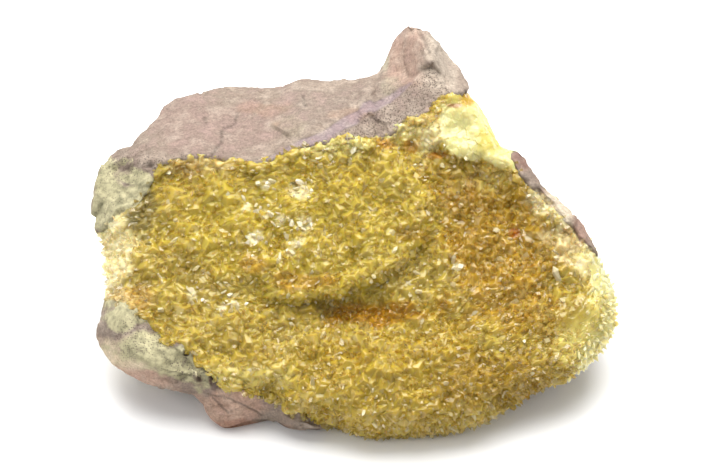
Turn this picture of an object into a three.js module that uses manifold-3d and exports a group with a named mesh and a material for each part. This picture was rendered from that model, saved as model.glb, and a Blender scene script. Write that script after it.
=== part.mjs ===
// A hand specimen of drusy yellow calcite on pink rhyolite, as a three.js scene graph.
//
// The rhyolite is one broken lump that lies on a flat joint face. Its upper front was the wall of
// a cavity, and the calcite lines that wall as one crust of crystals grown together. So the
// specimen comes apart into two pieces: the host rock and the crust that sits in its hollow.
//
// Units are millimetres, +Z is up, and the origin is the bottom centre of the bounding box.
//
// The specimen is described in its display frame: u runs right and v up in the plane that faces
// somebody who looks down on the crust, and w comes out of that plane towards them. The outline is
// the specimen's edge as seen that way, and the face is a height w over each (u, v) inside it.
import * as THREE from "three";
import { mergeVertices } from "three/addons/utils/BufferGeometryUtils.js";
import Module from "manifold-3d";

const wasm = await Module();
wasm.setup();

// ---- Driving dimensions ----

const DISPLAY_ELEVATION = THREE.MathUtils.degToRad(50); // the display direction, above level
const DISPLAY_HEIGHT = 38; // of the display frame's origin above the joint face it rests on
const CRUST_SLOPE = -0.325; // w per v: the crust leans back this much from the display plane
const PLATEAU_SLOPE = -1.25; // w per v on the broken top of the rock behind the crust
const BAND_SLOPE = -0.45; // w per v on the speckled layer between the crust and the plateau
const BAND_STEP = 3.5; // how far the plateau lies below that layer's upper edge
const CRUST_DEPTH = 7; // of the crust below its crystal tips, across its face
const CRUST_EDGE = 5; // of the crust where it wraps over the lip
const CRUST_FOOT = 16; // how far below the plane of its face the crust reaches past the lip
const GAP = 0.3; // between the crust and the rock
const BASE_CENTRE_Y = 5; // of the joint face, before the specimen is centred
const BASE_RADII = [63, 50]; // of the joint face, along X and along Y
const BASE_INSET = 0.87; // the joint face is at most this share of the outline above it
const RIDGE_SHARE = 0.68; // of the way from the middle to the edge, where a ring follows the ridge
const RIDGE_BORDER = 1; // between the crust and that ring
const LOWEST_EDGE = 1.2; // the face stays at least this far above the joint face
const LONGEST_SIDE = 6.5; // outline sides longer than this are divided
const SIDE_RINGS = [0.15, 0.35, 0.6, 0.82, 1]; // shares of the way from the edge to the base

// The face's rings: their share of the way from the middle to the edge, and how many corners they
// step over.
const FACE_RINGS = [
  [0.1, 8], [0.19, 4], [0.28, 4], [0.36, 2], [0.44, 2], [0.52, 2], [0.6, 2], [0.68, 1],
  [0.74, 1], [0.8, 1], [0.86, 1], [0.91, 1], [0.95, 1], [0.98, 1], [1, 1],
];

// The outline, anticlockwise from the right, as [u, v], in stretches. drop is how far the face
// falls towards the edge there, and width is how far in from the edge it starts to fall.
const OUTLINE = [
  // Thin rock wall behind the crust
  {
    drop: 4,
    width: 4,
    points: [
      [78.5, -10], [77, -7.5], [75, -3.5], [73, 0], [70, 5], [65.5, 9.5], [61, 13.5], [57.5, 17],
      [55, 20], [53.5, 24], [51.5, 26.5], [49, 27.2],
    ],
  },
  // Broken ledge of massive calcite
  {
    drop: 6,
    width: 5,
    points: [[46.5, 28], [44, 33], [42, 38], [40, 41], [37, 44.5]],
  },
  // Horn of rock
  {
    drop: 5,
    width: 5,
    points: [
      [35.5, 47], [33.5, 50], [31.5, 54], [29, 57.5], [26.5, 60.5], [24, 63], [21.5, 65.5],
      [18, 66.5], [15, 65.5], [12.5, 63.5], [12, 60.5], [10.5, 57.5], [9, 54.5], [7.5, 51.5],
    ],
  },
  // Back edge of the plateau
  {
    drop: 3,
    width: 4,
    points: [
      [4, 50], [0, 49.5], [-8, 48.5], [-17, 49.5], [-21.5, 48], [-27, 47], [-33.5, 47.5],
      [-40, 47.5], [-46, 46], [-52, 44], [-56, 43], [-59.5, 41], [-61.5, 37.5], [-64, 35.5],
      [-68, 31.5], [-70, 28],
    ],
  },
  // Weathered left corner
  {
    drop: 12,
    width: 17,
    points: [
      [-73.5, 27.5], [-76.5, 25], [-79.5, 21.5], [-81, 17.5], [-81.5, 14.5], [-82.5, 8.5],
      [-81.5, 3.5], [-80.5, -1],
    ],
  },
  // Left side
  {
    drop: 9,
    width: 8,
    points: [[-79, -5.5], [-78.5, -14], [-78.5, -21]],
  },
  // Lower left wall
  {
    drop: 11,
    width: 8,
    points: [
      [-79.5, -26.5], [-80, -30.5], [-78.5, -34.5], [-75.5, -39], [-71.5, -42], [-65.5, -45.5],
      [-56.5, -47.5], [-49.5, -49],
    ],
  },
  // Pointed foot
  {
    drop: 17,
    width: 19,
    points: [[-47, -52.5], [-44.5, -56.5], [-41.5, -59], [-39.5, -59], [-33.5, -57.5], [-26.5, -56]],
  },
  // Rock under the lip
  {
    drop: 12,
    width: 9,
    points: [[-21.5, -58.5], [-17, -59], [-5.5, -59.5]],
  },
  // Crystal lip, front
  {
    drop: 12,
    width: 8,
    points: [
      [-1, -61.5], [5.5, -63], [14, -63], [23.5, -62], [29, -61.5], [35, -60.5], [41, -58.5],
      [46, -55], [52, -52], [57.5, -48],
    ],
  },
  // Crystal lip, right
  {
    drop: 9,
    width: 7,
    points: [
      [65.5, -45.5], [71.5, -41.5], [76, -38], [79, -33.5], [81.5, -29], [82, -25], [82, -21],
      [80.5, -14.5],
    ],
  },
];

// Where the crust ends, as [u, v], clockwise. Past the lip it runs outside the outline.
const CRUST_REGION = [
  [49.5, 24.5], [52, 20], [56, 15.5], [60.5, 11], [65.5, 6], [70.5, 1], [75, -5], [78, -9],
  [95, -12], [95, -60], [40, -80], [-4, -78], [-8, -60], [-11, -57], [-17, -54], [-22, -51],
  [-29, -49.5], [-36, -47], [-40, -43.5], [-43, -39], [-47.5, -34], [-54, -30], [-61, -27],
  [-68, -25], [-73, -21], [-76, -14], [-76, -5], [-74, 2], [-66.5, 6], [-63.5, 13], [-62, 20],
  [-58, 24.5], [-48, 25.5], [-36, 24], [-26.5, 23.5], [-17, 27], [-10, 28], [-3, 31], [6, 29],
  [12.5, 34], [21.5, 39], [32.5, 44.5], [37, 47], [46, 46],
];

// The ridge between the crust's side of the rock and its broken top, as v over u, and the width
// of the speckled layer that lies along the ridge.
const RIDGE = [
  [-90, 20], [-73, 23], [-60, 25], [-48, 26], [-36, 24.5], [-26, 24], [-17, 27.5], [-10, 28.5],
  [-3, 31.5], [6, 30], [12.5, 34.5], [21.5, 39.5], [32.5, 45], [38, 49], [44, 70], [90, 70],
];
const BAND_WIDTH = [
  [-90, 0], [-14, 0], [-3, 2.5], [4, 8], [14, 11], [24, 12], [31, 8], [38, 0], [90, 0],
];

// The horn: its crest runs from its tip down to its root, and both flanks fall away from it.
// Its rise grows steadily from a little below the root, as a share of the crest's length.
const HORN = {
  tip: [18, 66.5],
  root: [25, 51],
  belowRoot: 0.3,
  rise: 15,
  leftFall: 0.35,
  rightFall: 0.9,
  leftFoot: [2, 12],
};

// Swells and hollows of the crust's face, as smooth round heaps.
const SWELLS = [
  { at: [46, -2], size: [17, 27], height: -5 }, // valley
  { at: [1, -24.5], size: [17, 5], height: -4 }, // cave under the mound
  { at: [12, -43], size: [38, 12], height: 3.5 }, // lower mound
  { at: [70, -24], size: [8, 8], height: 3.5 }, // broken ball of crystals
  { at: [-52, -4], size: [16, 20], height: 1.5 }, // left shoulder
  { at: [-38, -17], size: [22, 5], height: -2 }, // trough beside the mound
];
// The mound is a flat-topped oval. rim is where its edge falls, in squared half widths, and it
// fades in between the two u values of leftFade.
const MOUND = { at: [-22, 8], size: [46, 28], height: 5.5, rim: [0.75, 1.2], leftFade: [-45, -14] };
// The ledge of massive calcite stands above and right of a line, over the width of its broken rim.
const LEDGE = { from: [19, 31], to: [48, 8], height: 5, rim: [-2, 4], leftFade: [14, 26] };
const CRUST_WAVES = 0.6; // height of the slow waves on the crust's face
const PLATEAU_WAVES = 0.5; // and on the broken top of the rock
const EDGE_ROUNDING = 1.7; // power of the fall towards the edge: higher is sharper
const SIDE_WAVES = 0.9; // roughness of the sides
const SIDE_HOLLOW = 0.5; // how far the sides are hollow between the edge and the base
const LOW_EDGE = 12; // an edge lower than this stands out less over the joint face

// ---- Shaping functions ----

const { clamp, lerp, smoothstep } = THREE.MathUtils;

// The value at x of the straight-sided curve through [x, value] points.
function along(curve, x) {
  const next = curve.findIndex((point) => point[0] > x);
  const [x0, y0] = curve[next - 1];
  const [x1, y1] = curve[next];
  return lerp(y0, y1, (x - x0) / (x1 - x0));
}

// Slow waves that keep broken faces from being flat.
function waver(u, v) {
  return Math.sin(u * 0.21 + v * 0.13) + Math.sin(v * 0.27 - u * 0.09 + 1.7) * 0.8;
}

// A smooth round heap.
function swell({ at, size, height }, u, v) {
  const across = (u - at[0]) / size[0];
  const up = (v - at[1]) / size[1];
  return height * Math.exp(-across * across - up * up);
}

function mound(u, v) {
  const across = (u - MOUND.at[0]) / MOUND.size[0];
  const up = (v - MOUND.at[1]) / MOUND.size[1];
  const inside = 1 - smoothstep(across * across + up * up, ...MOUND.rim);
  return MOUND.height * inside * smoothstep(u, ...MOUND.leftFade);
}

function ledge(u, v) {
  const du = LEDGE.to[0] - LEDGE.from[0];
  const dv = LEDGE.to[1] - LEDGE.from[1];
  const beyond = ((v - LEDGE.from[1]) * du - (u - LEDGE.from[0]) * dv) / Math.hypot(du, dv);
  return LEDGE.height * smoothstep(beyond, ...LEDGE.rim) * smoothstep(u, ...LEDGE.leftFade);
}

// Height of the wall that the crust grew on.
function wallHeight(u, v) {
  return CRUST_SLOPE * v + SWELLS.reduce((sum, one) => sum + swell(one, u, v), 0) - CRUST_DEPTH;
}

// Height of the crust's face, out to its crystal tips.
function crustHeight(u, v) {
  const broken = mound(u, v) + ledge(u, v) + CRUST_WAVES * waver(u * 1.6, v * 1.6);
  return wallHeight(u, v) + CRUST_DEPTH + broken;
}

// How far the horn rises over the plateau.
function horn(u, v) {
  const { tip, root, belowRoot } = HORN;
  const up = clamp((v - root[1]) / (tip[1] - root[1]), -belowRoot, 1);
  const crest = lerp(root[0], tip[0], up);
  const fall = u < crest ? HORN.leftFall * (crest - u) : HORN.rightFall * (u - crest);
  const rise = (HORN.rise * (up + belowRoot)) / (1 + belowRoot);
  return Math.max(0, rise - fall) * smoothstep(u, ...HORN.leftFoot);
}

// Height of the whole face: the crust below the ridge, then the speckled layer, then the plateau.
function faceHeight(u, v) {
  const ridge = along(RIDGE, u);
  if (v <= ridge) return crustHeight(u, v);
  const band = along(BAND_WIDTH, u);
  const past = v - ridge;
  const onBand = Math.min(past, band);
  const onPlateau = Math.max(past - band, 0);
  const step = BAND_STEP * smoothstep(onPlateau, 0, 4) * smoothstep(band, 0, 4);
  const broken = PLATEAU_WAVES * waver(u, v) * smoothstep(onPlateau, 0, 5);
  const top = crustHeight(u, ridge) + BAND_SLOPE * onBand + PLATEAU_SLOPE * onPlateau;
  return top - step + broken + horn(u, v);
}

function toWorld(u, v, w) {
  const sin = Math.sin(DISPLAY_ELEVATION);
  const cos = Math.cos(DISPLAY_ELEVATION);
  return new THREE.Vector3(u, v * sin - w * cos, DISPLAY_HEIGHT + v * cos + w * sin);
}

// ---- The lump as a grid of rings ----

// Corners with some of their values averaged over the neighbours on both sides.
function evened(corners, keys, reach) {
  const count = corners.length;
  const around = Array.from({ length: 2 * reach + 1 }, (_, k) => k - reach);
  const mean = (i, key) =>
    around.reduce((sum, k) => sum + corners[(i + k + count) % count][key], 0) / around.length;
  return corners.map((corner, i) => {
    const values = keys.map((key) => [key, mean(i, key)]);
    return { ...corner, ...Object.fromEntries(values) };
  });
}

// The outline's corners with long sides divided, each with the drop and width of its stretch.
function outlineCorners() {
  const listed = OUTLINE.flatMap(({ drop, width, points }) =>
    points.map(([u, v]) => ({ u, v, drop, width })),
  );
  return listed.flatMap((corner, i) => {
    const next = listed[(i + 1) % listed.length];
    const pieces = Math.ceil(Math.hypot(next.u - corner.u, next.v - corner.v) / LONGEST_SIDE);
    return Array.from({ length: pieces }, (_, k) => ({
      ...corner,
      u: lerp(corner.u, next.u, k / pieces),
      v: lerp(corner.v, next.v, k / pieces),
    }));
  });
}

// How far from the middle the ridge is crossed on the way to a corner. Where the crust runs to
// the edge or close to it, that is a usual share of the way.
function ridgeReach(corner) {
  const reach = Math.hypot(corner.u, corner.v);
  for (let share = 0.3; share < 0.85; share += 0.01) {
    if (corner.v * share > along(RIDGE, corner.u * share)) return share * reach + RIDGE_BORDER;
  }
  return RIDGE_SHARE * reach;
}

const crossed = outlineCorners().map((corner) => ({ ...corner, ridge: ridgeReach(corner) }));
const CORNERS = evened(evened(crossed, ["drop", "width"], 2), ["ridge"], 1);
const WALL_CORNERS = evened(CORNERS, ["u", "v", "ridge"], 4).filter((_, i) => i % 2 === 0);

// A point of a face at a share of the way from the middle to an outline corner, with the edge
// taken in by an inset. One ring of the face runs along the ridge.
function facePoint(corner, share, inset, height) {
  const reach = Math.hypot(corner.u, corner.v);
  const beyond = (share - RIDGE_SHARE) / (1 - RIDGE_SHARE);
  const out = beyond < 0 ? (corner.ridge * share) / RIDGE_SHARE : lerp(corner.ridge, reach, beyond);
  const nearness = 1 - clamp((reach - out) / corner.width, 0, 1);
  const scale = (out / reach) * ((reach - inset) / reach);
  const u = corner.u * scale;
  const v = corner.v * scale;
  const w = height(u, v) - corner.drop * nearness ** EDGE_ROUNDING;
  const point = toWorld(u, v, w);
  return point.setZ(Math.max(point.z, LOWEST_EDGE));
}

// The corner of the flat joint face below a point of the edge.
function basePoint(edge, inset) {
  const x = edge.x;
  const y = edge.y - BASE_CENTRE_Y;
  const reach = Math.hypot(x, y);
  const turn = Math.atan2(y, x);
  const broken = 1 + 0.05 * Math.sin(turn * 3 + 1) + 0.03 * Math.sin(turn * 8);
  const oval = broken / Math.hypot(x / reach / BASE_RADII[0], y / reach / BASE_RADII[1]);
  const lowness = 1 - smoothstep(edge.z, 0, LOW_EDGE);
  const widest = reach * lerp(BASE_INSET, 0.98, lowness);
  const radius = Math.min(widest, oval + LOW_EDGE * lowness) - inset;
  return new THREE.Vector3((x / reach) * radius, BASE_CENTRE_Y + (y / reach) * radius, 0);
}

// The sides between the edge and the joint face are rough and a little hollow.
function sidePoint(edge, base, share, column) {
  const outward = new THREE.Vector3(edge.x, edge.y - BASE_CENTRE_Y, 0).normalize();
  const turn = Math.atan2(outward.y, outward.x);
  const rough = Math.sin(turn * 7 + share * 5) + 0.7 * Math.sin(turn * 13 - share * 9 + column % 2);
  const bulge = Math.sin(Math.PI * share) * (SIDE_WAVES * rough - SIDE_HOLLOW);
  return edge.clone().lerp(base, share).addScaledVector(outward, bulge);
}

// The triangles between two rings of points. A point knows its place around the ring.
function stitched(inner, outer) {
  const faces = [];
  let i = 0;
  let k = 0;
  const place = (ring, n) => ring[n % ring.length].place + (n >= ring.length ? 1 : 0);
  while (i < inner.length || k < outer.length) {
    const a = inner[i % inner.length].id;
    const b = outer[k % outer.length].id;
    const outerFirst = place(outer, k + 1) <= place(inner, i + 1);
    if (k < outer.length && (outerFirst || i >= inner.length)) {
      k += 1;
      faces.push(a, b, outer[k % outer.length].id);
    } else {
      i += 1;
      faces.push(a, b, inner[i % inner.length].id);
    }
  }
  return faces;
}

// A closed lump under a face: the face's middle and rings, the side rings, the middle of the base.
// Rings near the middle leave out some of the corners.
function lump(corners, inset, height) {
  const edges = corners.map((corner) => facePoint(corner, 1, inset, height));
  const bases = edges.map((edge) => basePoint(edge, inset));
  const points = [toWorld(0, 0, height(0, 0)), new THREE.Vector3(0, BASE_CENTRE_Y, 0)];
  const ringOf = (every, pointAt) =>
    corners.flatMap((corner, i) => {
      if (i % every !== 0) return [];
      points.push(pointAt(corner, i));
      return [{ id: points.length - 1, place: i / corners.length }];
    });
  const rings = [
    ...FACE_RINGS.map(([share, every]) =>
      ringOf(every, (corner) => facePoint(corner, share, inset, height)),
    ),
    ...SIDE_RINGS.map((share) => ringOf(1, (_, i) => sidePoint(edges[i], bases[i], share, i))),
  ];
  const faces = rings.slice(1).flatMap((ring, i) => stitched(rings[i], ring));
  const first = rings[0];
  const last = rings[rings.length - 1];
  first.forEach(({ id }, i) => faces.push(0, id, first[(i + 1) % first.length].id));
  last.forEach(({ id }, i) => faces.push(1, last[(i + 1) % last.length].id, id));
  const geometry = new THREE.BufferGeometry().setFromPoints(points);
  geometry.setIndex(faces);
  return geometry;
}

// ---- Solids ----

function solidOf(geometry) {
  const bare = geometry.clone();
  bare.deleteAttribute("normal");
  bare.deleteAttribute("uv");
  const merged = mergeVertices(bare, 1e-4);
  return new wasm.Manifold(
    new wasm.Mesh({
      numProp: 3,
      vertProperties: merged.attributes.position.array,
      triVerts: new Uint32Array(merged.index.array),
    }),
  );
}

function geometryOf(solid) {
  const mesh = solid.getMesh();
  const geometry = new THREE.BufferGeometry();
  geometry.setAttribute("position", new THREE.BufferAttribute(mesh.vertProperties, 3));
  geometry.setIndex(new THREE.BufferAttribute(mesh.triVerts, 1));
  return geometry;
}

// A clockwise loop of [u, v] points, each moved outwards by a distance.
function grown(loop, distance) {
  return loop.map(([u, v], i) => {
    const [u0, v0] = loop[(i + loop.length - 1) % loop.length];
    const [u1, v1] = loop[(i + 1) % loop.length];
    const side = new THREE.Vector2(v0 - v1, u1 - u0).normalize();
    return [u + side.x * distance, v + side.y * distance];
  });
}

// All that lies in front of the crust's foot, within the crust's region.
function crustSpace(distance) {
  const tall = 300;
  const shape = new THREE.Shape(grown(CRUST_REGION, distance).map((p) => new THREE.Vector2(...p)));
  const column = new THREE.ExtrudeGeometry(shape, { depth: tall, bevelEnabled: false });
  column.translate(0, 0, -tall / 2);
  const block = new THREE.BoxGeometry(tall, tall, tall);
  block.translate(0, 0, tall / 2 - CRUST_FOOT - distance);
  block.rotateX(-Math.atan(-CRUST_SLOPE));
  const toDisplay = new THREE.Matrix4().makeBasis(
    toWorld(1, 0, 0).sub(toWorld(0, 0, 0)),
    toWorld(0, 1, 0).sub(toWorld(0, 0, 0)),
    toWorld(0, 0, 1).sub(toWorld(0, 0, 0)),
  );
  toDisplay.setPosition(toWorld(0, 0, 0));
  return solidOf(column.applyMatrix4(toDisplay)).intersect(solidOf(block.applyMatrix4(toDisplay)));
}

// A geometry with every point moved outwards by a distance.
function swollen(geometry, distance) {
  const moved = geometry.clone();
  moved.computeVertexNormals();
  const { position, normal } = moved.attributes;
  const point = new THREE.Vector3();
  for (let i = 0; i < position.count; i++) {
    const outward = new THREE.Vector3().fromBufferAttribute(normal, i);
    point.fromBufferAttribute(position, i).addScaledVector(outward, distance);
    position.setXYZ(i, ...point);
  }
  return moved;
}

const coreShape = lump(WALL_CORNERS, CRUST_EDGE, wallHeight);
const whole = solidOf(lump(CORNERS, 0, faceHeight));
const core = solidOf(coreShape);
const coreWithGap = solidOf(swollen(coreShape, GAP));

// The largest body of a solid, because a cut can leave crumbs at its edge.
function largest(solid) {
  return solid.decompose().sort((a, b) => b.volume() - a.volume())[0];
}

const crust = largest(whole.intersect(crustSpace(0)).subtract(coreWithGap));
const rock = largest(whole.subtract(crustSpace(GAP).subtract(core)));

// ---- The specimen ----

const rhyolite = new THREE.MeshStandardMaterial({ color: 0xc9aa9a, roughness: 0.95, metalness: 0 });
const calcite = new THREE.MeshStandardMaterial({ color: 0xc9a13f, roughness: 0.35, metalness: 0 });

const specimen = new THREE.Group();
for (const [name, solid, material] of [
  ["host_rock", rock, rhyolite],
  ["calcite_crust", crust, calcite],
]) {
  const mesh = new THREE.Mesh(geometryOf(solid), material);
  mesh.name = name;
  specimen.add(mesh);
}

// Centres the bounding box on the origin, with its bottom face at zero.
const bounds = new THREE.Box3().setFromObject(specimen);
const middle = bounds.getCenter(new THREE.Vector3());
specimen.children.forEach((mesh) => mesh.position.set(-middle.x, -middle.y, -bounds.min.z));

export default specimen;
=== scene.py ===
import bpy
import numpy as np
from mathutils import Matrix, Vector


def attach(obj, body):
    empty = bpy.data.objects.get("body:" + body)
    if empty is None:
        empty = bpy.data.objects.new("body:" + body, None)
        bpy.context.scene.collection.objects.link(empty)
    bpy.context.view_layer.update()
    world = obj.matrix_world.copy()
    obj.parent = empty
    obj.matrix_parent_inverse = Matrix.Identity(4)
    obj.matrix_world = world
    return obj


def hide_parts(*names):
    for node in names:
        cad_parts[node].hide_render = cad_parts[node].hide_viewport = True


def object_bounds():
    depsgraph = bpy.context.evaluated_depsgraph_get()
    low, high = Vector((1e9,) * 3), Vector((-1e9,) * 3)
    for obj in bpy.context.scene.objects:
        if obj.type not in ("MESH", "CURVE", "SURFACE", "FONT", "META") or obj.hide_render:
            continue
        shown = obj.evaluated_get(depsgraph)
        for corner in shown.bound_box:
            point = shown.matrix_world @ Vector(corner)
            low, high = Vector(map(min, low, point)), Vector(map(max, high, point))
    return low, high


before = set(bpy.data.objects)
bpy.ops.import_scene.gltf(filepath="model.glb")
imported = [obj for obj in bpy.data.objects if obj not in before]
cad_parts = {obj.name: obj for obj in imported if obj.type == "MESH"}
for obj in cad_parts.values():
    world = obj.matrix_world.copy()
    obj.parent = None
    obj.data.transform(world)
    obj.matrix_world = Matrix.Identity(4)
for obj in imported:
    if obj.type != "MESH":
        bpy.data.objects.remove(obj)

# A hand specimen of honey-yellow drusy calcite on pink rhyolite. Each operator below makes one
# piece of it, or one group of like pieces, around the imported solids. The working unit of the shape
# functions is the millimetre, and meshes are in metres.
#
# Shapes are worked out in the specimen's display frame: u runs right and v up in the plane that
# faces somebody who looks down on the crust, and w comes out of that plane towards them.

bl_info = {
    "name": "Calcite on Rhyolite Specimen",
    "version": (1, 0, 0),
    "blender": (4, 5, 0),
    "location": "View3D > Sidebar > Specimen",
    "description": "Builds a drusy calcite specimen around its packed solids",
    "category": "Add Mesh",
}

CAD_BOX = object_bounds()
MM = 0.001  # metres in a millimetre

# ---- The specimen's shape, in millimetres ----

DISPLAY_ELEVATION = np.radians(50)  # of the display direction, above level
DISPLAY_CENTRE = (0.25, -8.572, 38.0)  # of the display frame, in the specimen's own frame
CRUST_SLOPE = -0.325  # w per v: the crust leans back this much from the display plane
PLATEAU_SLOPE = -1.25  # on the broken top of the rock behind the crust
BAND_SLOPE = -0.45  # on the speckled layer between the crust and the plateau
BAND_STEP = 3.5  # how far the plateau lies below that layer's upper edge
STEP_RUN = 1.6  # how far that step takes to fall
STEP_BAND = 4.0  # width of the speckled layer from which the step is whole
STEP_FADE = (15, 24)  # along u, where most of the step dies out before the horn
STEP_FADED = 0.8
# Slow waves: radians per millimetre of u and of v, shift, height.
WAVES = ((0.21, 0.13, 0.0, 1.0), (-0.09, 0.27, 1.7, 0.8))
LIP_INSET = 4.5  # how far the rock's edge is drawn in under the crystal lip
BASE_CENTRE_Y = 5.0 + DISPLAY_CENTRE[1]  # of the joint face
BASE_RADII = (63.0, 50.0)  # of the joint face, along X and along Y
BASE_INSET = 0.87  # the joint face is at most this share of the outline above it
LOW_INSET = 0.98  # the same below a low edge
BASE_WAVES = ((3, 1, 0.05), (8, 0, 0.03))  # of its broken oval: waves round it, shift, height
SIDE_WAVES = ((7, 5, 1.0), (13, -9, 0.7))  # of the sides: waves round, slant down them, height
SIDE_BULGE = (0.9, 0.5)  # share of those waves, and how far the sides are hollowed
LOWEST_EDGE = 1.2  # the face stays at least this far above the joint face
LOW_EDGE = 12.0  # an edge lower than this stands out less over the joint face
EDGE_ROUNDING = 1.7  # power of the fall towards the edge: higher is sharper
ROCK_ROUNDING = 1.25  # the same where rock is broken

# The outline, anticlockwise from the right, in stretches of (drop, width, points). drop is how far
# the face falls towards the edge there, and width is how far in from the edge it starts to fall.
OUTLINE = (
    # Thin rock wall behind the crust
    (4, 4, ((78.5, -10), (77, -7.5), (75, -3.5), (73, 0), (70, 5), (65.5, 9.5), (61, 13.5),
            (57.5, 17), (55, 20), (53.5, 24), (51.5, 26.5), (49, 27.2))),
    # Broken ledge of massive calcite
    (6, 5, ((46.5, 28), (44, 33), (42, 38), (40, 41), (37, 44.5))),
    # Horn of rock
    (5, 5, ((35.5, 47), (33.5, 50), (31.5, 54), (29, 57.5), (26.5, 60.5), (24, 63), (21.5, 65.5),
            (18, 66.5), (15, 65.5), (13.2, 63.5), (11.7, 60.5), (10.3, 57.5), (9, 54.5),
            (7.5, 51.5))),
    # Back edge of the plateau
    (3, 4, ((4, 50), (0, 49.5), (-8, 48.5), (-17, 49.5), (-21.5, 48), (-27, 47), (-33.5, 47.5),
            (-40, 47.5), (-46, 46), (-52, 44), (-56, 43), (-59.5, 41), (-61.5, 37.5),
            (-64, 35.5), (-68, 31.5), (-70, 28))),
    # Weathered left corner
    (12, 17, ((-73.5, 27.5), (-76.5, 25), (-79.5, 21.5), (-81, 17.5), (-81.5, 14.5), (-82.5, 8.5),
              (-81.5, 3.5), (-80.5, -1))),
    # Left side
    (9, 8, ((-79, -5.5), (-78.5, -14), (-78.5, -21))),
    # Lower left wall
    (11, 8, ((-79.5, -26.5), (-80, -30.5), (-78.5, -34.5), (-75.5, -39), (-71.5, -42),
             (-65.5, -45.5), (-56.5, -47.5), (-49.5, -49))),
    # Pointed foot
    (17, 19, ((-47, -52.5), (-44.5, -56.5), (-41.5, -59), (-39.5, -59), (-33.5, -57.5),
              (-26.5, -56))),
    # Rock under the lip
    (12, 9, ((-21.5, -58.5), (-17, -59), (-5.5, -59.5))),
    # Crystal lip, front
    (12, 8, ((-1, -61.5), (5.5, -63), (14, -63), (23.5, -62), (29, -61.5), (35, -60.5),
             (41, -58.5), (46, -55), (52, -52), (57.5, -48))),
    # Crystal lip, right
    (9, 7, ((65.5, -45.5), (71.5, -41.5), (76, -38), (79, -33.5), (81.5, -29), (82, -25),
            (82, -21), (80.5, -14.5))),
)

# Where the crust ends, clockwise. Past the lip it runs outside the outline.
CRUST_REGION = np.array((
    (49.5, 24), (50.8, 21.5), (53, 19), (57, 15.4), (61, 11), (65.8, 6.3), (70.6, 1.2),
    (75, -4.5), (79, -8.5), (95, -12), (95, -60), (40, -80), (-4, -78), (-8, -60.5), (-13, -58.5),
    (-20, -55), (-24, -52), (-29, -49.8), (-36, -47.4), (-41, -45), (-43, -42), (-47, -39),
    (-50, -36), (-53, -33.3), (-57.5, -33), (-61, -29.5), (-64, -26.5), (-67, -23.3),
    (-71, -19), (-79, -21), (-82, -20), (-83, -8), (-82.5, 1), (-76, 4.5), (-72, 6),
    (-69.4, 7.8), (-65.7, 12), (-63.5, 18), (-60.5, 21), (-57.4, 24.3), (-48, 24.6),
    (-43.4, 23.9), (-36, 22.5), (-29, 22.6), (-23, 24.2), (-17, 26.6), (-12.4, 27.8),
    (-7.8, 28.6), (-4.7, 30), (0, 31.3), (4.7, 30), (7.8, 30.5), (10.9, 32.3), (14, 34.8),
    (17, 37), (20, 37.8), (23.9, 39.2), (26.4, 41), (29.8, 43.5), (32.5, 46), (37, 47), (46, 46),
), float)

# The ridge between the crust's side of the rock and its broken top, and the width of the speckled
# layer along it, both over u.
RIDGE = np.array((
    (-90, 20), (-73, 23), (-60, 25), (-48, 26), (-36, 24.5), (-26, 24), (-17, 27.5), (-10, 28.5),
    (-3, 31.5), (6, 30), (12.5, 34.5), (21.5, 39.5), (32.5, 45), (38, 49), (44, 70), (90, 70),
), float)
BAND_WIDTH = np.array((
    (-90, 0), (-14, 0), (-3, 2), (0.9, 4.2), (2.2, 6.9), (4.7, 8.9), (10.9, 8.2), (14, 8.8),
    (17, 10.1), (24, 12), (26, 8.3), (28, 4.5), (30.5, 0), (90, 0),
), float)
# The mauve layer beyond it.
RISER_WIDTH = np.array((
    (-90, 0), (-30, 0), (-26, 1), (-15.5, 3), (-4.7, 4), (1.5, 4.3), (7, 3.1), (14, 2.5),
    (17, 0.8), (19, 0), (90, 0),
), float)

# Massive calcite without points of its own: the ledge at the top right, and the broken rim that
# fans out round a ball of crystals at the right. Both run past the outline.
LEDGE_REGION = np.array((
    (26, 41.5), (29.5, 44), (33, 47), (38, 50), (46, 46), (52, 34), (55, 26), (50, 20),
    (46.5, 20), (42.5, 22.5), (38.8, 22.5), (33.5, 24), (31, 25), (27, 26.5), (26, 31), (26.5, 36),
), float)
RIM_REGION = np.array((
    (75, -5), (82, -4), (90, -14), (92, -28), (86, -44), (74, -54), (66, -50), (68, -38),
    (71, -32.5), (74.5, -29), (76, -24), (75, -19.5), (72, -15.5), (71.5, -11),
), float)
BALL = (68.5, -24.5, 7.0)  # u, v, radius

# The horn: its crest runs from its tip to its root, and its flanks fall away on both sides.
HORN_TIP = (18, 66.5)
HORN_ROOT = (25, 51)
HORN_BELOW_ROOT = 0.3  # of the crest's length, where the rise starts
HORN_RISE = 15  # of its crest at the tip
HORN_FALLS = (0.35, 0.9)  # of its left and right flanks
HORN_FOOT = (2, 12)  # where the left flank comes out of the plateau

# Swells and hollows of the crust, as (u, v, half width, half height, rise).
SWELLS = (
    (46, -2, 17, 27, -5),  # valley
    (1, -24.5, 17, 5, -4),  # cave under the mound
    (12, -43, 38, 12, 3.5),  # lower mound
    (68.5, -24.5, 7, 7, 2.2),  # broken ball of crystals
    (-52, -4, 16, 20, 1.5),  # left shoulder
    (-38, -17, 22, 5, -2),  # trough beside the mound
)
MOUND = (-22, 8, 46, 28, 4.6)  # the same, but flat-topped
MOUND_RIM = (0.85, 1.1)  # where its edge falls, in squared half widths
MOUND_FADE = (-45, -14)  # it rises out of the left shoulder between these
LEDGE_LINE = ((19, 33), (50, 17))  # the massive calcite stands above and right of this line
LEDGE_RISE = 4.5
LEDGE_RIM = (-4, 3)  # it rises between these distances beyond its line
LEDGE_FADE = (14, 26)  # and between these along u
LEDGE_GENTLE = (5, 42, 52)  # its rim is this much wider on both sides past there along u
CRUST_WAVES = (0.6, 1.6)  # height of the crust's slow waves, and how much shorter they are

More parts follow.
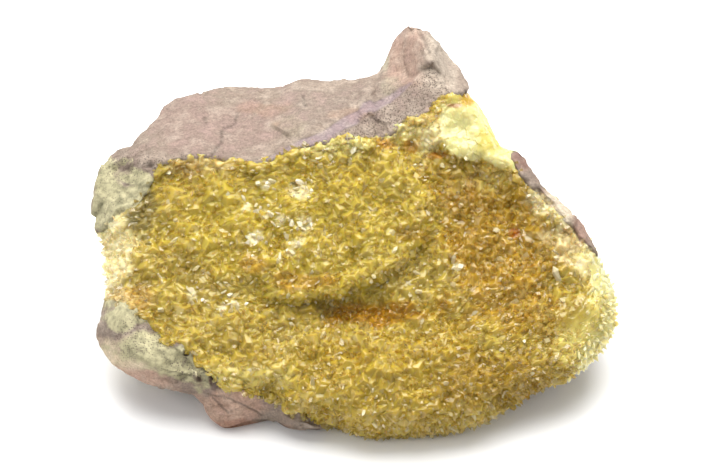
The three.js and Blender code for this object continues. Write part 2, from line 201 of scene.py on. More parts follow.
# The crease between the horn's two faces, and cracks, as lines of places.
HORN_CREASE = ((20, 64.5), (21, 62.6), (22.3, 60.1), (23.3, 57.4))
CRACKS = (
    ((-36.9, 38.8), (-37.2, 35.3), (-40.3, 34.1), (-41.5, 32.6), (-41.9, 29.1), (-45, 25.1)),
    ((-16.3, 44.2), (-15.8, 41.2)), ((-47, 37.3), (-46.8, 35)),
    ((-75.6, 19.4), (-73, 17.5), (-71, 16.3), (-69, 16.8)),
    ((-45, -49), (-38, -50), (-29, -55)), ((-44, -50), (-39, -54.5)),
)
# Rotten hollows beside the crust: u, v, half width, half height, strength.
ROTTEN_PATCHES = (
    (-46, -43.5, 5, 2.8, 1.0), (-50.5, -36.5, 3, 3, 0.9), (-60, -31.5, 5, 2, 0.6),
    (-67, 21, 7, 2.5, 0.5),
)

# ---- Colours, as sRGB hex ----


def linear(code):
    """The linear colour of an sRGB hex code: each channel by the sRGB curve."""
    srgb = np.array([int(code[i:i + 2], 16) for i in (0, 2, 4)]) / 255
    return np.where(srgb <= 0.04045, srgb / 12.92, ((srgb + 0.055) / 1.055) ** 2.4)


def colour(code):
    """The same with an alpha of one, as a colour property and a socket take it."""
    return (*linear(code), 1.0)


# ---- Numbers worked out over whole arrays ----

# Ragged edges: height of the rubble, its size, seed and octaves.
REGION_EDGE = (1.2, 4.0, 33, 3)
LEDGE_EDGE = (1.6, 5.0, 31, 1)
MOUND_EDGE = (0.06, 6.0, 32, 1)  # in squared half widths
CRUST_EDGE = (0.9, 5.0, 11, 3)
LINE_WAVER = ((0.35, 1.7, 53, 1), (0.35, 1.7, 54, 1))  # along u and along v
GROOVE_WAVER = (0.5, 6.0, 71, 1)


def smooth(x, low, high):
    """0 below low, 1 above high, and the cubic 3t² - 2t³ between them."""
    t = np.clip((x - low) / (high - low), 0, 1)
    return t * t * (3 - 2 * t)


def unit(vectors):
    """Vectors divided by their length."""
    return vectors / np.maximum(np.linalg.norm(vectors, axis=-1, keepdims=True), 1e-12)


def chance(cells, seed):
    """A number from 0 to 1 for each whole-number cell: its bits multiplied, added and folded, with
    products that wrap round, and the top 24 bits kept."""
    c = cells.astype(np.int64).astype(np.uint64)
    with np.errstate(over="ignore"):
        h = c[..., 0] * np.uint64(0x9E3779B97F4A7C15) + c[..., 1] * np.uint64(0xC2B2AE3D27D4EB4F)
        h += c[..., 2] * np.uint64(0x165667B19E3779F9) + np.uint64(seed * 7919 + 12345)
        h ^= h >> np.uint64(29)
        h *= np.uint64(0xBF58476D1CE4E5B9)
        h ^= h >> np.uint64(32)
        h *= np.uint64(0x94D049BB133111EB)
        h ^= h >> np.uint64(29)
    return (h >> np.uint64(40)).astype(float) / 2.0 ** 24


FACET_RISE = 0.35  # share of its tilt by which a broken facet stands higher or lower
TIP_SPREAD = 0.5  # difference in height between crystal tips, as a share of their size
TIP_FADE = 1.2  # fall of a tip's pyramid away from the surface that it stands on
ASKEW = (0.31, 0.9, 0.3)  # a direction that lies along no face


def corners_of(span):
    """Every whole-number step within a cube of steps."""
    return np.stack(np.meshgrid(span, span, span, indexing="ij"), axis=-1).reshape(-1, 3)


def rumple(points, size, seed):
    """Smooth random heights from -1 to 1: chances at the corners of cubes of a size, blended."""
    scaled = points / size
    cell = np.floor(scaled)
    inside = scaled - cell
    inside = inside * inside * (3 - 2 * inside)
    total = 0.0
    for corner in corners_of((0, 1)):
        weight = np.prod(np.where(corner, inside, 1 - inside), axis=-1)
        total = total + weight * chance(cell + corner, seed)
    return 2 * total - 1


def rubble(points, size, seed, octaves=4):
    """Rumples of halving size and height, added up."""
    return sum(rumple(points, size / 2 ** k, seed + k) / 2 ** k for k in range(octaves))


def ragged(u, v, height, size, seed, octaves):
    """Rubble of a height over the display plane, which makes an edge or a patch on it ragged."""
    return height * rubble(np.stack([u, v, 0 * u], -1), size, seed, octaves)


def shards(points, size, seed, steepness):
    """Broken facets: each point takes the tilted plane of the nearest of many scattered centres.
    Gives the planes' height and the distance to the next facet."""
    scaled = points / size
    cell = np.floor(scaled)
    nearest = np.full(points.shape[:-1], np.inf)
    second = nearest.copy()
    height = np.zeros_like(nearest)
    for step in corners_of((-1, 0, 1)):
        home = cell + step
        place = np.stack([chance(home, seed + k) for k in range(3)], axis=-1)
        tilt = np.stack([chance(home, seed + k) for k in (3, 4, 5)], axis=-1) - 0.5
        away = scaled - home - place
        distance = np.linalg.norm(away, axis=-1)
        closer = distance < nearest
        second = np.where(closer, nearest, np.minimum(second, distance))
        height = np.where(closer, (away * tilt).sum(-1) + FACET_RISE * tilt[..., 0], height)
        nearest = np.minimum(nearest, distance)
    return height * size * steepness * 2, (second - nearest) * size


def tips(points, normals, size, seed, slope):
    """Height of crowded crystal tips: a pyramid with three faces stands on each of many scattered
    centres, each turned its own way, and the highest of them counts."""
    across = unit(np.cross(normals, ASKEW))
    along = np.cross(normals, across)
    scaled = points / size
    cell = np.floor(scaled)
    best = np.full(points.shape[:-1], -np.inf)
    for step in corners_of((-1, 0, 1)):
        home = cell + step
        away = scaled - home - np.stack([chance(home, seed + k) for k in range(3)], axis=-1)
        x, y, z = ((away * axis).sum(-1) for axis in (across, along, normals))
        turns = chance(home, seed + 3) * 2 * np.pi + np.arange(3)[:, None] * 2 * np.pi / 3
        far = np.max(x * np.cos(turns) + y * np.sin(turns), axis=0)
        height = TIP_SPREAD * chance(home, seed + 4) - slope * far - TIP_FADE * np.abs(z)
        best = np.maximum(best, height)
    return best * size


def to_world(u, v, w):
    """Places in the specimen's own frame: the display axes turned by the display elevation."""
    sin, cos = np.sin(DISPLAY_ELEVATION), np.cos(DISPLAY_ELEVATION)
    u, v, w = np.broadcast_arrays(u, v, w)
    turned = np.stack([u, v * sin - w * cos, v * cos + w * sin], axis=-1)
    return turned + np.array(DISPLAY_CENTRE)


def to_display(points):
    """The display u, v and w of places in the specimen's own frame."""
    sin, cos = np.sin(DISPLAY_ELEVATION), np.cos(DISPLAY_ELEVATION)
    x, y, z = np.moveaxis(points - np.array(DISPLAY_CENTRE), -1, 0)
    return x, y * sin + z * cos, z * sin - y * cos


def waver(u, v):
    """Slow waves: sines that cross, added up."""
    return sum(height * np.sin(u * a + v * b + shift) for a, b, shift, height in WAVES)


def heap(u, v, at_u, at_v, half_u, half_v):
    """A smooth round heap: the bell curve of the distance in half widths."""
    return np.exp(-(((u - at_u) / half_u) ** 2) - ((v - at_v) / half_v) ** 2)


def in_region(u, v, loop):
    """1 inside a closed loop and 0 outside it, with a ragged edge."""
    return smooth(margin(u, v, loop) + ragged(u, v, *REGION_EDGE), -0.5, 0.5)


def in_ball(u, v):
    """1 inside the ball of broken crystals and 0 outside it."""
    at_u, at_v, radius = BALL
    return 1 - smooth(np.hypot(u - at_u, v - at_v), radius - 0.7, radius + 0.3)


def massive_share(u, v):
    """1 where the calcite has no points of its own and 0 elsewhere."""
    regions = np.maximum(in_region(u, v, LEDGE_REGION), in_region(u, v, RIM_REGION))
    return np.maximum(regions, 0.75 * in_ball(u, v))


def ledge_share(u, v):
    """1 on the massive calcite, beyond its line, and 0 off it."""
    (u0, v0), (u1, v1) = LEDGE_LINE
    du, dv = u1 - u0, v1 - v0
    beyond = ((v - v0) * du - (u - u0) * dv) / np.hypot(du, dv) + ragged(u, v, *LEDGE_EDGE)
    widening, *span = LEDGE_GENTLE
    gentle = widening * smooth(u, *span)
    return smooth(beyond, LEDGE_RIM[0] - gentle, LEDGE_RIM[1] + gentle) * smooth(u, *LEDGE_FADE)


def crust_height(u, v):
    """Height of the crystal tips: a leaning plane, heaps, the flat-topped mound and the ledge."""
    at_u, at_v, half_u, half_v, rise = MOUND
    squared = ((u - at_u) / half_u) ** 2 + ((v - at_v) / half_v) ** 2
    squared = squared + ragged(u, v, *MOUND_EDGE)
    mound = rise * (1 - smooth(squared, *MOUND_RIM)) * smooth(u, *MOUND_FADE)
    swells = sum(rise * heap(u, v, *place) for *place, rise in SWELLS)
    lift = LEDGE_RISE * ledge_share(u, v)
    height, times = CRUST_WAVES
    return CRUST_SLOPE * v + swells + mound + lift + height * waver(u * times, v * times)


def horn_height(u, v):
    """Rise of the horn: a crest that grows towards the tip, less a straight fall on each side."""
    span = HORN_TIP[1] - HORN_ROOT[1]
    up = np.clip((v - HORN_ROOT[1]) / span, -HORN_BELOW_ROOT, 1)
    crest = HORN_ROOT[0] + (HORN_TIP[0] - HORN_ROOT[0]) * up
    fall = np.where(u < crest, HORN_FALLS[0] * (crest - u), HORN_FALLS[1] * (u - crest))
    rise = HORN_RISE * (up + HORN_BELOW_ROOT) / (1 + HORN_BELOW_ROOT)
    return np.maximum(0, rise - fall) * smooth(u, *HORN_FOOT)


def past_ridge(u, v):
    """How far a place is past the ridge, and how wide the speckled layer is there."""
    return v - np.interp(u, *RIDGE.T), np.interp(u, *BAND_WIDTH.T)


def face_height(u, v):
    """The crust below the ridge. Past it a slope down the speckled layer, a step, and then the
    steeper slope of the plateau with the horn on it."""
    past, band = past_ridge(u, v)
    ridge = v - past
    on_band = np.minimum(past, band)
    on_plateau = np.maximum(past - band, 0)
    step = BAND_STEP * smooth(on_plateau, 0, STEP_RUN) * smooth(band, 0, STEP_BAND)
    step = step * (1 - STEP_FADED * smooth(u, *STEP_FADE))
    top = crust_height(u, ridge) + BAND_SLOPE * on_band + PLATEAU_SLOPE * on_plateau
    broken = 0.5 * waver(u, v) * smooth(on_plateau, 0, 5)
    horn = horn_height(u, v) * smooth(on_plateau, 0, 2.5)
    return np.where(past <= 0, crust_height(u, v), top - step + broken + horn)


def round_mean(values, reach):
    """Each value of a closed ring averaged with its neighbours within a reach."""
    return sum(np.roll(values, k, axis=0) for k in range(-reach, reach + 1)) / (2 * reach + 1)


def outline(count):
    """The edge as evenly spaced points: the outline's corners joined by straight lines, divided by
    length and evened a little, with the drop and width of their stretches."""
    listed = [(u, v, drop, width) for drop, width, points in OUTLINE for u, v in points]
    closed = np.array(listed + listed[:1], float)
    run = np.concatenate([[0], np.cumsum(np.hypot(*np.diff(closed[:, :2], axis=0).T))])
    at = np.linspace(0, run[-1], count, endpoint=False)
    values = np.stack([np.interp(at, run, column) for column in closed.T], axis=1)
    spacing = run[-1] / count
    edge = round_mean(values[:, :2], max(1, int(0.9 / spacing)))
    fall = round_mean(values[:, 2:], max(1, int(9 / spacing)))
    return edge, fall[:, 0], fall[:, 1]


def crossing(directions, loop):
    """Distance from the middle to a loop along each direction: the nearest crossing of the ray
    with the loop's straight sides."""
    side = np.roll(loop, -1, axis=0) - loop
    dx, dy = directions[:, None, 0], directions[:, None, 1]
    ax, ay = loop[None, :, 0], loop[None, :, 1]
    sx, sy = side[None, :, 0], side[None, :, 1]
    slant = dx * sy - dy * sx
    slant = np.where(np.abs(slant) < 1e-9, 1e-9, slant)
    far = (ax * sy - ay * sx) / slant
    along = (ax * dy - ay * dx) / slant
    return np.where((along >= 0) & (along <= 1) & (far > 0), far, np.inf).min(axis=1)


def from_side(u, v, start, side):
    """Distance from a place to a straight side: to its nearest point, which is between its
    ends."""
    (x, y), (dx, dy) = start, side
    along = np.clip(((u - x) * dx + (v - y) * dy) / (dx * dx + dy * dy), 0, 1)
    return np.hypot(u - x - along * dx, v - y - along * dy)


def margin(u, v, loop):
    """How far a place is inside a closed loop: the distance to its nearest side, below zero
    outside it."""
    nearest = np.full(np.shape(u), np.inf)
    inside = np.zeros(np.shape(u), bool)
    for (x, y), (dx, dy) in zip(loop, np.roll(loop, -1, axis=0) - loop):
        nearest = np.minimum(nearest, from_side(u, v, (x, y), (dx, dy)))
        if dy:
            inside ^= ((y > v) != (y + dy > v)) & (u < x + dx * (v - y) / dy)
    return np.where(inside, nearest, -nearest)


def on_lines(u, v, lines, width):
    """1 on any of several open lines, which waver a little, and 0 a width away from them."""
    along_u, along_v = LINE_WAVER
    u, v = u + ragged(u, v, *along_u), v + ragged(u, v, *along_v)
    nearest = np.full(np.shape(u), np.inf)
    for line in lines:
        line = np.array(line, float)
        for start, side in zip(line, np.diff(line, axis=0)):
            nearest = np.minimum(nearest, from_side(u, v, start, side))
    return 1 - smooth(nearest, 0.4 * width, width)


def crust_margin(u, v):
    """How far a place is inside the crust, whose edge is ragged."""
    return margin(u, v, CRUST_REGION) + ragged(u, v, *CRUST_EDGE)


def held_down(values, slope):
    """A closed ring of values, lowered so that none is steeper than a slope from the next."""
    low = values
    for k in range(1, len(values) // 6):
        low = np.minimum(low, np.minimum(np.roll(values, k), np.roll(values, -k)) + slope * k)
    return low


def base_points(edge):
    """The flat joint face's rim below each point of the edge: the point drawn in towards the
    middle, and no further out than a broken oval."""
    x, y = edge[:, 0], edge[:, 1] - BASE_CENTRE_Y
    reach = np.hypot(x, y)
    turn = np.arctan2(y, x)
    broken = 1.0
    for times, shift, height in BASE_WAVES:
        broken = broken + height * np.sin(turn * times + shift)
    oval = broken / np.hypot(x / reach / BASE_RADII[0], y / reach / BASE_RADII[1])
    lowness = 1 - smooth(edge[:, 2], 0, LOW_EDGE)
    widest = reach * (BASE_INSET + (LOW_INSET - BASE_INSET) * lowness)
    radius = np.minimum(widest, oval + LOW_EDGE * lowness)
    return np.stack([x / reach * radius, BASE_CENTRE_Y + y / reach * radius, 0 * x], axis=-1)


def side_points(edge, base, shares):
    """The sides: straight from the edge to the base, pushed out and in by waves that die away at
    both ends."""
    away = edge[:, :2] - np.array([0, BASE_CENTRE_Y])
    outward = unit(np.concatenate([away, 0 * away[:, :1]], axis=1))
    turn = np.arctan2(outward[:, 1], outward[:, 0])[None, :]
    share = shares[:, None]
    waves = sum(height * np.sin(turn * times + share * slant)
                for times, slant, height in SIDE_WAVES)
    bulge = np.sin(np.pi * share) * (SIDE_BULGE[0] * waves - SIDE_BULGE[1])
    straight = edge[None] * (1 - share[..., None]) + base[None] * share[..., None]
    return straight + outward[None] * bulge[..., None]


def vertex_normals(vertices, groups):
    """Outward directions at vertices: the sum of the area vectors of the faces round each, which
    are half the cross products of their diagonals."""
    total = np.zeros_like(vertices)
    for faces in groups:
        corner = vertices[faces]
        area = np.cross(corner[:, 2] - corner[:, 0], corner[:, -1] - corner[:, 1])
        for k in range(faces.shape[1]):
            np.add.at(total, faces[:, k], area)
    return unit(total)


def grid_normals(points):
    """Outward directions on a grid of rings: the way across the rings, crossed with the way
    round them."""
    across = np.gradient(points, axis=0)
    around = np.roll(points, -1, axis=1) - np.roll(points, 1, axis=1)
    return unit(np.cross(across, around))


# ---- Meshes and materials ----


def mesh_object(name, vertices, faces, smooth_shaded, attributes):
    """An object whose mesh is whole arrays: vertices in millimetres, faces with a fixed number of
    corners or a list of such arrays, and attributes by name, one value per vertex."""
    groups = faces if isinstance(faces, list) else [faces]
    mesh = bpy.data.meshes.new(name)
    mesh.vertices.add(len(vertices))
    mesh.vertices.foreach_set("co", (vertices * MM).astype(np.float32).ravel())
    corners = np.concatenate([group.ravel() for group in groups]).astype(np.int32)
    sizes = np.concatenate([np.full(len(group), group.shape[1]) for group in groups])
    starts = np.concatenate([[0], np.cumsum(sizes)[:-1]]).astype(np.int32)
    mesh.loops.add(len(corners))
    mesh.loops.foreach_set("vertex_index", corners)
    mesh.polygons.add(len(sizes))
    mesh.polygons.foreach_set("loop_start", starts)
    mesh.polygons.foreach_set("use_smooth", np.full(len(sizes), smooth_shaded))
    mesh.update(calc_edges=True)
    mesh.validate()
    for title, values in attributes.items():
        if values.ndim == 2:
            layer = mesh.attributes.new(title, "FLOAT_COLOR", "POINT")
            rgba = np.concatenate([values, np.ones((len(values), 1))], axis=1)
            layer.data.foreach_set("color", rgba.astype(np.float32).ravel())
        else:
            layer = mesh.attributes.new(title, "FLOAT", "POINT")
            layer.data.foreach_set("value", values.astype(np.float32))
    piece = bpy.data.objects.new(name, mesh)
    bpy.context.scene.collection.objects.link(piece)
    return piece


def ring_faces(rows, columns, top, bottom):
    """Quads of a grid of closed rings, and the fans that close its first and last rings on two
    more vertices."""
    row, column = np.meshgrid(np.arange(rows - 1), np.arange(columns), indexing="ij")
    after = (column + 1) % columns
    quads = np.stack([row * columns + column, (row + 1) * columns + column,
                      (row + 1) * columns + after, row * columns + after], axis=-1)
    at = np.arange(columns)
    then = (at + 1) % columns
    last = (rows - 1) * columns
    first_fan = np.stack([np.full(columns, top), at, then], axis=-1)
    last_fan = np.stack([np.full(columns, bottom), last + then, last + at], axis=-1)
    return [quads.reshape(-1, 4), np.concatenate([first_fan, last_fan])]


def seated(piece, node, material):
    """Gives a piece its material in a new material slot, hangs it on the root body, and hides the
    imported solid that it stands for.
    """
    piece.data.materials.append(material)
    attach(piece, "root")
    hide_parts(node)


def add(tree, kind, sockets=None, **settings):
    """Adds one node with its settings. A socket takes a number or colour, or a link from another
    node's output."""
    node = tree.nodes.new(kind)
    for key, value in settings.items():
        setattr(node, key, value)
    for key, value in (sockets or {}).items():
        if isinstance(value, bpy.types.NodeSocket):
            tree.links.new(value, node.inputs[key])
        else:
            node.inputs[key].default_value = value
    return node


def blank_material(name):
    """A material with an empty node tree and its output node."""
    material = bpy.data.materials.new(name)
    material.use_nodes = True
    tree = material.node_tree
    tree.nodes.clear()
    return material, tree, add(tree, "ShaderNodeOutputMaterial")


def per_mm(size):
    """A pattern's scale on Object coordinates, in metres, for grains of a size in millimetres."""
    return 1 / (size * MM)


# Rhyolite, broken across: a dull, fine-grained stone. The eye sees pale pink clouded with cream
# and mauve, a fine grain, and dark specks where it has been altered.
def rhyolite_material(tones):
    material, tree, output = blank_material("Rhyolite_broken_altered")
    place = add(tree, "ShaderNodeTexCoord").outputs["Object"]
    tone = add(tree, "ShaderNodeAttribute", attribute_name="tone").outputs["Color"]
    specks = add(tree, "ShaderNodeAttribute", attribute_name="specks").outputs["Fac"]
    coat = add(tree, "ShaderNodeAttribute", attribute_name="coat").outputs["Fac"]

    clouds = add(tree, "ShaderNodeTexNoise", {"Vector": place, "Scale": per_mm(6), "Detail": 6.0,
                                              "Roughness": 0.6}).outputs["Fac"]
    cream = add(tree, "ShaderNodeMapRange", {"Value": clouds, "From Min": 0.48, "From Max": 0.72,
                                             "To Max": 0.3}).outputs["Result"]
    mauve = add(tree, "ShaderNodeMapRange", {"Value": clouds, "From Min": 0.5, "From Max": 0.28,
                                             "To Max": 0.3}).outputs["Result"]
    base = add(tree, "ShaderNodeMix", {"Factor": cream, 6: tone, 7: tones.cream},
               data_type="RGBA").outputs[2]
    base = add(tree, "ShaderNodeMix", {"Factor": mauve, 6: base, 7: tones.mauve},
               data_type="RGBA").outputs[2]

    # Flow streaks, 1.6 mm wide and 7 mm long.
    flow = add(tree, "ShaderNodeMapping", {"Vector": place, "Rotation": (0.0, 0.0, 0.45),
                                           "Scale": (0.22, 1.0, 1.0)}).outputs["Vector"]
    bands = add(tree, "ShaderNodeTexNoise", {"Vector": flow, "Scale": per_mm(1.6), "Detail": 8.0,
                                             "Roughness": 0.72,
                                             "Distortion": 1.2}).outputs["Fac"]
    streak = add(tree, "ShaderNodeMapRange", {"Value": bands, "From Min": 0.3, "From Max": 0.7,
                                              "To Min": 0.8, "To Max": 1.16}).outputs["Result"]
    base = add(tree, "ShaderNodeVectorMath", {0: base, "Scale": streak},
               operation="SCALE").outputs["Vector"]

    grain = add(tree, "ShaderNodeTexNoise", {"Vector": place, "Scale": per_mm(0.7), "Detail": 4.0,
                                             "Roughness": 0.7}).outputs["Fac"]
    shade = add(tree, "ShaderNodeMapRange", {"Value": grain, "From Min": 0.25, "From Max": 0.75,
                                             "To Min": 0.6, "To Max": 1.32}).outputs["Result"]
    base = add(tree, "ShaderNodeVectorMath", {0: base, "Scale": shade},
               operation="SCALE").outputs["Vector"]

    # Pores and dark mineral grains, 0.6 mm apart: 0.25 mm across, and 0.4 mm where peppered.
    dots = add(tree, "ShaderNodeTexVoronoi", {"Vector": place, "Scale": per_mm(0.6),
                                              "Randomness": 1.0})
    wide = add(tree, "ShaderNodeMath", {0: specks, 1: 0.14}, operation="MULTIPLY").outputs[0]
    inner = add(tree, "ShaderNodeMath", {0: dots.outputs["Distance"], 1: wide},
                operation="SUBTRACT").outputs[0]
    near = add(tree, "ShaderNodeMapRange", {"Value": inner, "From Min": 0.26,
                                            "From Max": 0.14}).outputs["Result"]
    kept = add(tree, "ShaderNodeSeparateColor", {"Color": dots.outputs["Color"]}).outputs["Red"]
    limit = add(tree, "ShaderNodeMath", {0: specks, 1: 0.16}, operation="ADD").outputs[0]
    some = add(tree, "ShaderNodeMath", {0: kept, 1: limit}, operation="LESS_THAN").outputs[0]
    pores = add(tree, "ShaderNodeMath", {0: near, 1: some}, operation="MULTIPLY").outputs[0]

    # The weathered coat: a patchy green-grey film, 3 mm clouds with a finely ragged edge.
    film = add(tree, "ShaderNodeTexNoise", {"Vector": place, "Scale": per_mm(3), "Detail": 7.0,
                                            "Roughness": 0.75}).outputs["Fac"]
    reach = add(tree, "ShaderNodeMath", {0: film, 1: coat}, operation="ADD").outputs[0]
    cover = add(tree, "ShaderNodeMapRange", {"Value": reach, "From Min": 0.85,
                                             "From Max": 1.25}).outputs["Result"]
    fresh = add(tree, "ShaderNodeMapRange", {"Value": film, "From Min": 0.34,
                                             "From Max": 0.6}).outputs["Result"]
    green = add(tree, "ShaderNodeMix", {"Factor": fresh, 6: tones.coat_dark, 7: tones.coat_pale},
                data_type="RGBA").outputs[2]
    base = add(tree, "ShaderNodeMix", {"Factor": cover, 6: base, 7: green},
               data_type="RGBA").outputs[2]
    base = add(tree, "ShaderNodeMix", {"Factor": pores, 6: base, 7: tones.pore},
               data_type="RGBA").outputs[2]

    depth = add(tree, "ShaderNodeMath", {0: grain, 1: pores}, operation="SUBTRACT").outputs[0]
    bump = add(tree, "ShaderNodeBump", {"Height": depth, "Strength": 0.55,
                                        "Distance": 0.25 * MM}).outputs["Normal"]
    shader = add(tree, "ShaderNodeBsdfPrincipled", {
        "Base Color": base, "Roughness": 0.88, "IOR": 1.52, "Specular IOR Level": 0.3,
        "Normal": bump})
    tree.links.new(shader.outputs["BSDF"], output.inputs["Surface"])
    return material


# The crystalline mass below the points: cloudy calcite, which glows a little because light enters
# it and scatters, and glints where a smooth face turns to the light. Its index is between calcite's
# two, 1.49 and 1.66.
def massive_material(name, scatter, roughness):
    material, tree, output = blank_material(name)
    place = add(tree, "ShaderNodeTexCoord").outputs["Object"]
    tone = add(tree, "ShaderNodeAttribute", attribute_name="tone").outputs["Color"]
    clouds = add(tree, "ShaderNodeTexNoise", {"Vector": place, "Scale": per_mm(2.5), "Detail": 5.0,
                                              "Roughness": 0.6}).outputs["Fac"]
    shade = add(tree, "ShaderNodeMapRange", {"Value": clouds, "From Min": 0.3, "From Max": 0.7,
                                             "To Min": 0.9, "To Max": 1.08}).outputs["Result"]
    base = add(tree, "ShaderNodeVectorMath", {0: tone, "Scale": shade},
               operation="SCALE").outputs["Vector"]
    grain = add(tree, "ShaderNodeTexVoronoi", {"Vector": place, "Scale": per_mm(0.9)}).outputs[0]
    bump = add(tree, "ShaderNodeBump", {"Height": grain, "Strength": 0.1,
                                        "Distance": 0.2 * MM}).outputs["Normal"]
    shader = add(tree, "ShaderNodeBsdfPrincipled", {
        "Base Color": base, "Roughness": roughness, "IOR": 1.58,
        "Specular IOR Level": 0.4, "Normal": bump,
        "Subsurface Weight": scatter, "Subsurface Radius": (1.0, 0.75, 0.4),
        "Subsurface Scale": 2.5 * MM})
    tree.links.new(shader.outputs["BSDF"], output.inputs["Surface"])
    return material


# Calcite points, as grown: glassy faces, clear to the eye but coloured honey through their depth.
# The points touch, and light bends little where it goes from one straight into the next, so their
# index is near one. The coat gives their faces the glint of calcite. Powdery white points let less
# light in.
def crystal_material(tones, sizes):
    material, tree, output = blank_material("Calcite_honey_points")
    tone = add(tree, "ShaderNodeAttribute", attribute_name="tone").outputs["Color"]
    powder = add(tree, "ShaderNodeAttribute", attribute_name="powder").outputs["Fac"]
    clear = add(tree, "ShaderNodeMapRange", {
        "Value": powder, "To Min": sizes.clearness, "To Max": 0.1}).outputs["Result"]
    shader = add(tree, "ShaderNodeBsdfPrincipled", {
        "Base Color": tone, "Roughness": 0.1, "IOR": 1.15, "Transmission Weight": clear,
        "Coat Weight": 0.8, "Coat Roughness": 0.06, "Coat IOR": 1.5})
    depth = add(tree, "ShaderNodeVolumeAbsorption", {
        "Color": tones.absorbed, "Density": sizes.absorption})
    tree.links.new(shader.outputs["BSDF"], output.inputs["Surface"])
    tree.links.new(depth.outputs["Volume"], output.inputs["Volume"])
    return material


# ---- What a user may change ----


class SpecimenSizes(bpy.types.PropertyGroup):
    """Sizes and clearness of the calcite points"""

    crystal_length: bpy.props.FloatProperty(
        name="Crystal Length", description="Usual length of a calcite point",
        default=4.1 * MM, unit="LENGTH")
    crystal_width: bpy.props.FloatProperty(
        name="Crystal Width", description="Usual width of a calcite point",
        default=2.3 * MM, unit="LENGTH")
    crystal_spacing: bpy.props.FloatProperty(
        name="Crystal Spacing", description="Usual distance from one large point to the next",
        default=2.3 * MM, unit="LENGTH")
    clearness: bpy.props.FloatProperty(
        name="Clearness", description="Share of light that passes into a point",
        default=0.8, subtype="FACTOR")
    absorption: bpy.props.FloatProperty(
        name="Absorption", description="Density of the honey colour, per metre", default=220.0)


def tone_property(name, description, code):
    """A colour that a user may change, whose default is an sRGB hex code."""
    return bpy.props.FloatVectorProperty(
        name=name, description=description, subtype="COLOR", size=4, default=colour(code))


class SpecimenTones(bpy.types.PropertyGroup):
    """Colours of the rhyolite, its coat and the depth of the points"""

    cream: tone_property("Cream", "Pale clouds in the rhyolite", "DECDBB")
    mauve: tone_property("Mauve", "Darker clouds in the rhyolite", "B79A93")
    pore: tone_property("Pore", "Pores and dark grains of the rhyolite", "5E5148")
    coat_pale: tone_property("Pale Coat", "Weathered coat where it is thick", "B6AE8A")
    coat_dark: tone_property("Dark Coat", "Weathered coat where it is thin", "757157")
    absorbed: tone_property("Depth Colour", "Colour that light takes on inside a point", "F2E094")


# ---- Colours painted over the specimen ----

ROCK_PINK = "807164"
ROCK_TINTS = (
    # colour, u, v, half width, half height, strength
    ("83756A", 6, 40, 30, 8, 0.5),  # cream streaks near the speckled layer
    ("89736A", -45, 34, 22, 9, 0.5),  # rosy left end of the plateau
    ("A38878", 15, 57, 7, 10, 0.8),  # smooth left face of the horn
    ("9C8F80", 28, 57, 6, 12, 0.9),  # striated right face of the horn
    ("C9B799", -69, -36, 10, 6, 0.9),  # cream under the coat
    ("A98B79", -68, -44, 16, 3, 0.9),  # pink strip along the lower left wall
    ("AE8F7C", -38, -54, 14, 5, 0.9),  # pointed foot
    ("98705C", -33, -58.5, 12, 1.4, 0.8),  # its reddish underside
    # The rotten hollows: the brown of the rotted rock, darkened further by painted shade in the
    # hollows.
    ("6F5C48", -46, -44, 3, 2, 0.9),  # dark rotten hollows beside the crust
    ("74604A", -51, -35, 2, 3, 0.8),
    ("96796B", 64, 6, 14, 14, 0.8),  # thin wall at the right
    ("BEB19A", 62.5, 9, 6, 7, 0.95),  # its cream middle
    ("7A5B50", 52, 24, 4, 5, 0.8),  # its darker tip
    ("948A74", -19, 34, 4, 4, 0.35),  # faint green patch on the plateau
    ("96755F", -28, 40, 8, 2, 0.3),  # faint orange ones
    ("96755F", -2, 38, 9, 2, 0.3),
    ("A39D86", 9.5, 56, 1.6, 5, 0.7),  # pale flake beside the horn
    ("8A8470", 11, 47, 3, 3, 0.5),  # grey-green patch before it
)
RISER_MAUVE = "85757A"
RISER_SHARE = 0.65  # of that mauve over the layer beyond the speckled one
SPECKLED_PALER = 0.14  # share by which the speckled layer is paler
# Painted light and shade on the horn's grooves: the crests paler by this share, the grooves darker
# by it.
GROOVE_LIGHT_AND_SHADE = 0.16  # and the crests between the horn's grooves
# How dark are that layer's edges, the painted shade in the cracks and in the horn's crease, and the
# rotten hollows, whose brown is deepened by painted shade, and the most that they darken the rock
# together.
EDGE_DARK, CRACK_SHADE, CREASE_SHADE, ROT_AND_SHADE_DARK, DARKEST = 0.3, 0.5, 0.35, 0.75, 0.8
# The weathered coat: u, v, half width, half height, strength.
COAT_PATCHES = (
    (-76, 10, 9, 13, 1.0), (-69, 18.5, 8, 3.5, 0.9), (-65, 16, 5, 5, 1.0),
    (-70, 10, 7, 8, 0.9),
    (-68, -23, 9, 6, 1.0), (-72, -26, 7, 6, 0.9), (-65, -34, 11, 8, 0.85), (-56, -38, 10, 6, 0.8),
    (-48, -42, 9, 5, 0.8), (-18, 34, 4, 4, 0.3),
)
# Where it is peppered with dark grains: u, v, half width, half height, strength.
SPECK_PATCHES = (
    (-70, 23, 11, 6, 1.0), (-66, -30, 12, 8, 0.8), (-50, -40, 10, 6, 1.0),
    (-77, 12, 7, 10, 0.45), (12, 46, 4, 3, 0.6), (-3.2, 31, 2, 2, 1.0),
)
# Where the face is broken more roughly: u, v, half width, half height, share.
ROUGH_PATCHES = (
    (-76, 14, 12, 16, 0.4), (-50, -40, 12, 7, 0.5), (-36, -54, 16, 8, 0.2), (-63, 14, 6, 8, 0.5),
)

# Tufts of powdery white calcite: u, v, radius.
TUFTS = (
    (-28, 16, 3), (-17, 14, 3.4), (-33.5, 9, 2.6), (-28, 7, 3), (-23, 5.5, 3.2), (-16, 4, 3),
    (-31, 0, 2.6), (-18, -2, 2.6), (-20, -5, 2.4), (-50.5, -18, 3), (-41, -22, 2.4),
    (-37.5, -20.5, 2.2), (31.5, -9.5, 2.2),
)
TUFT_WHITE = "EBE1C8"

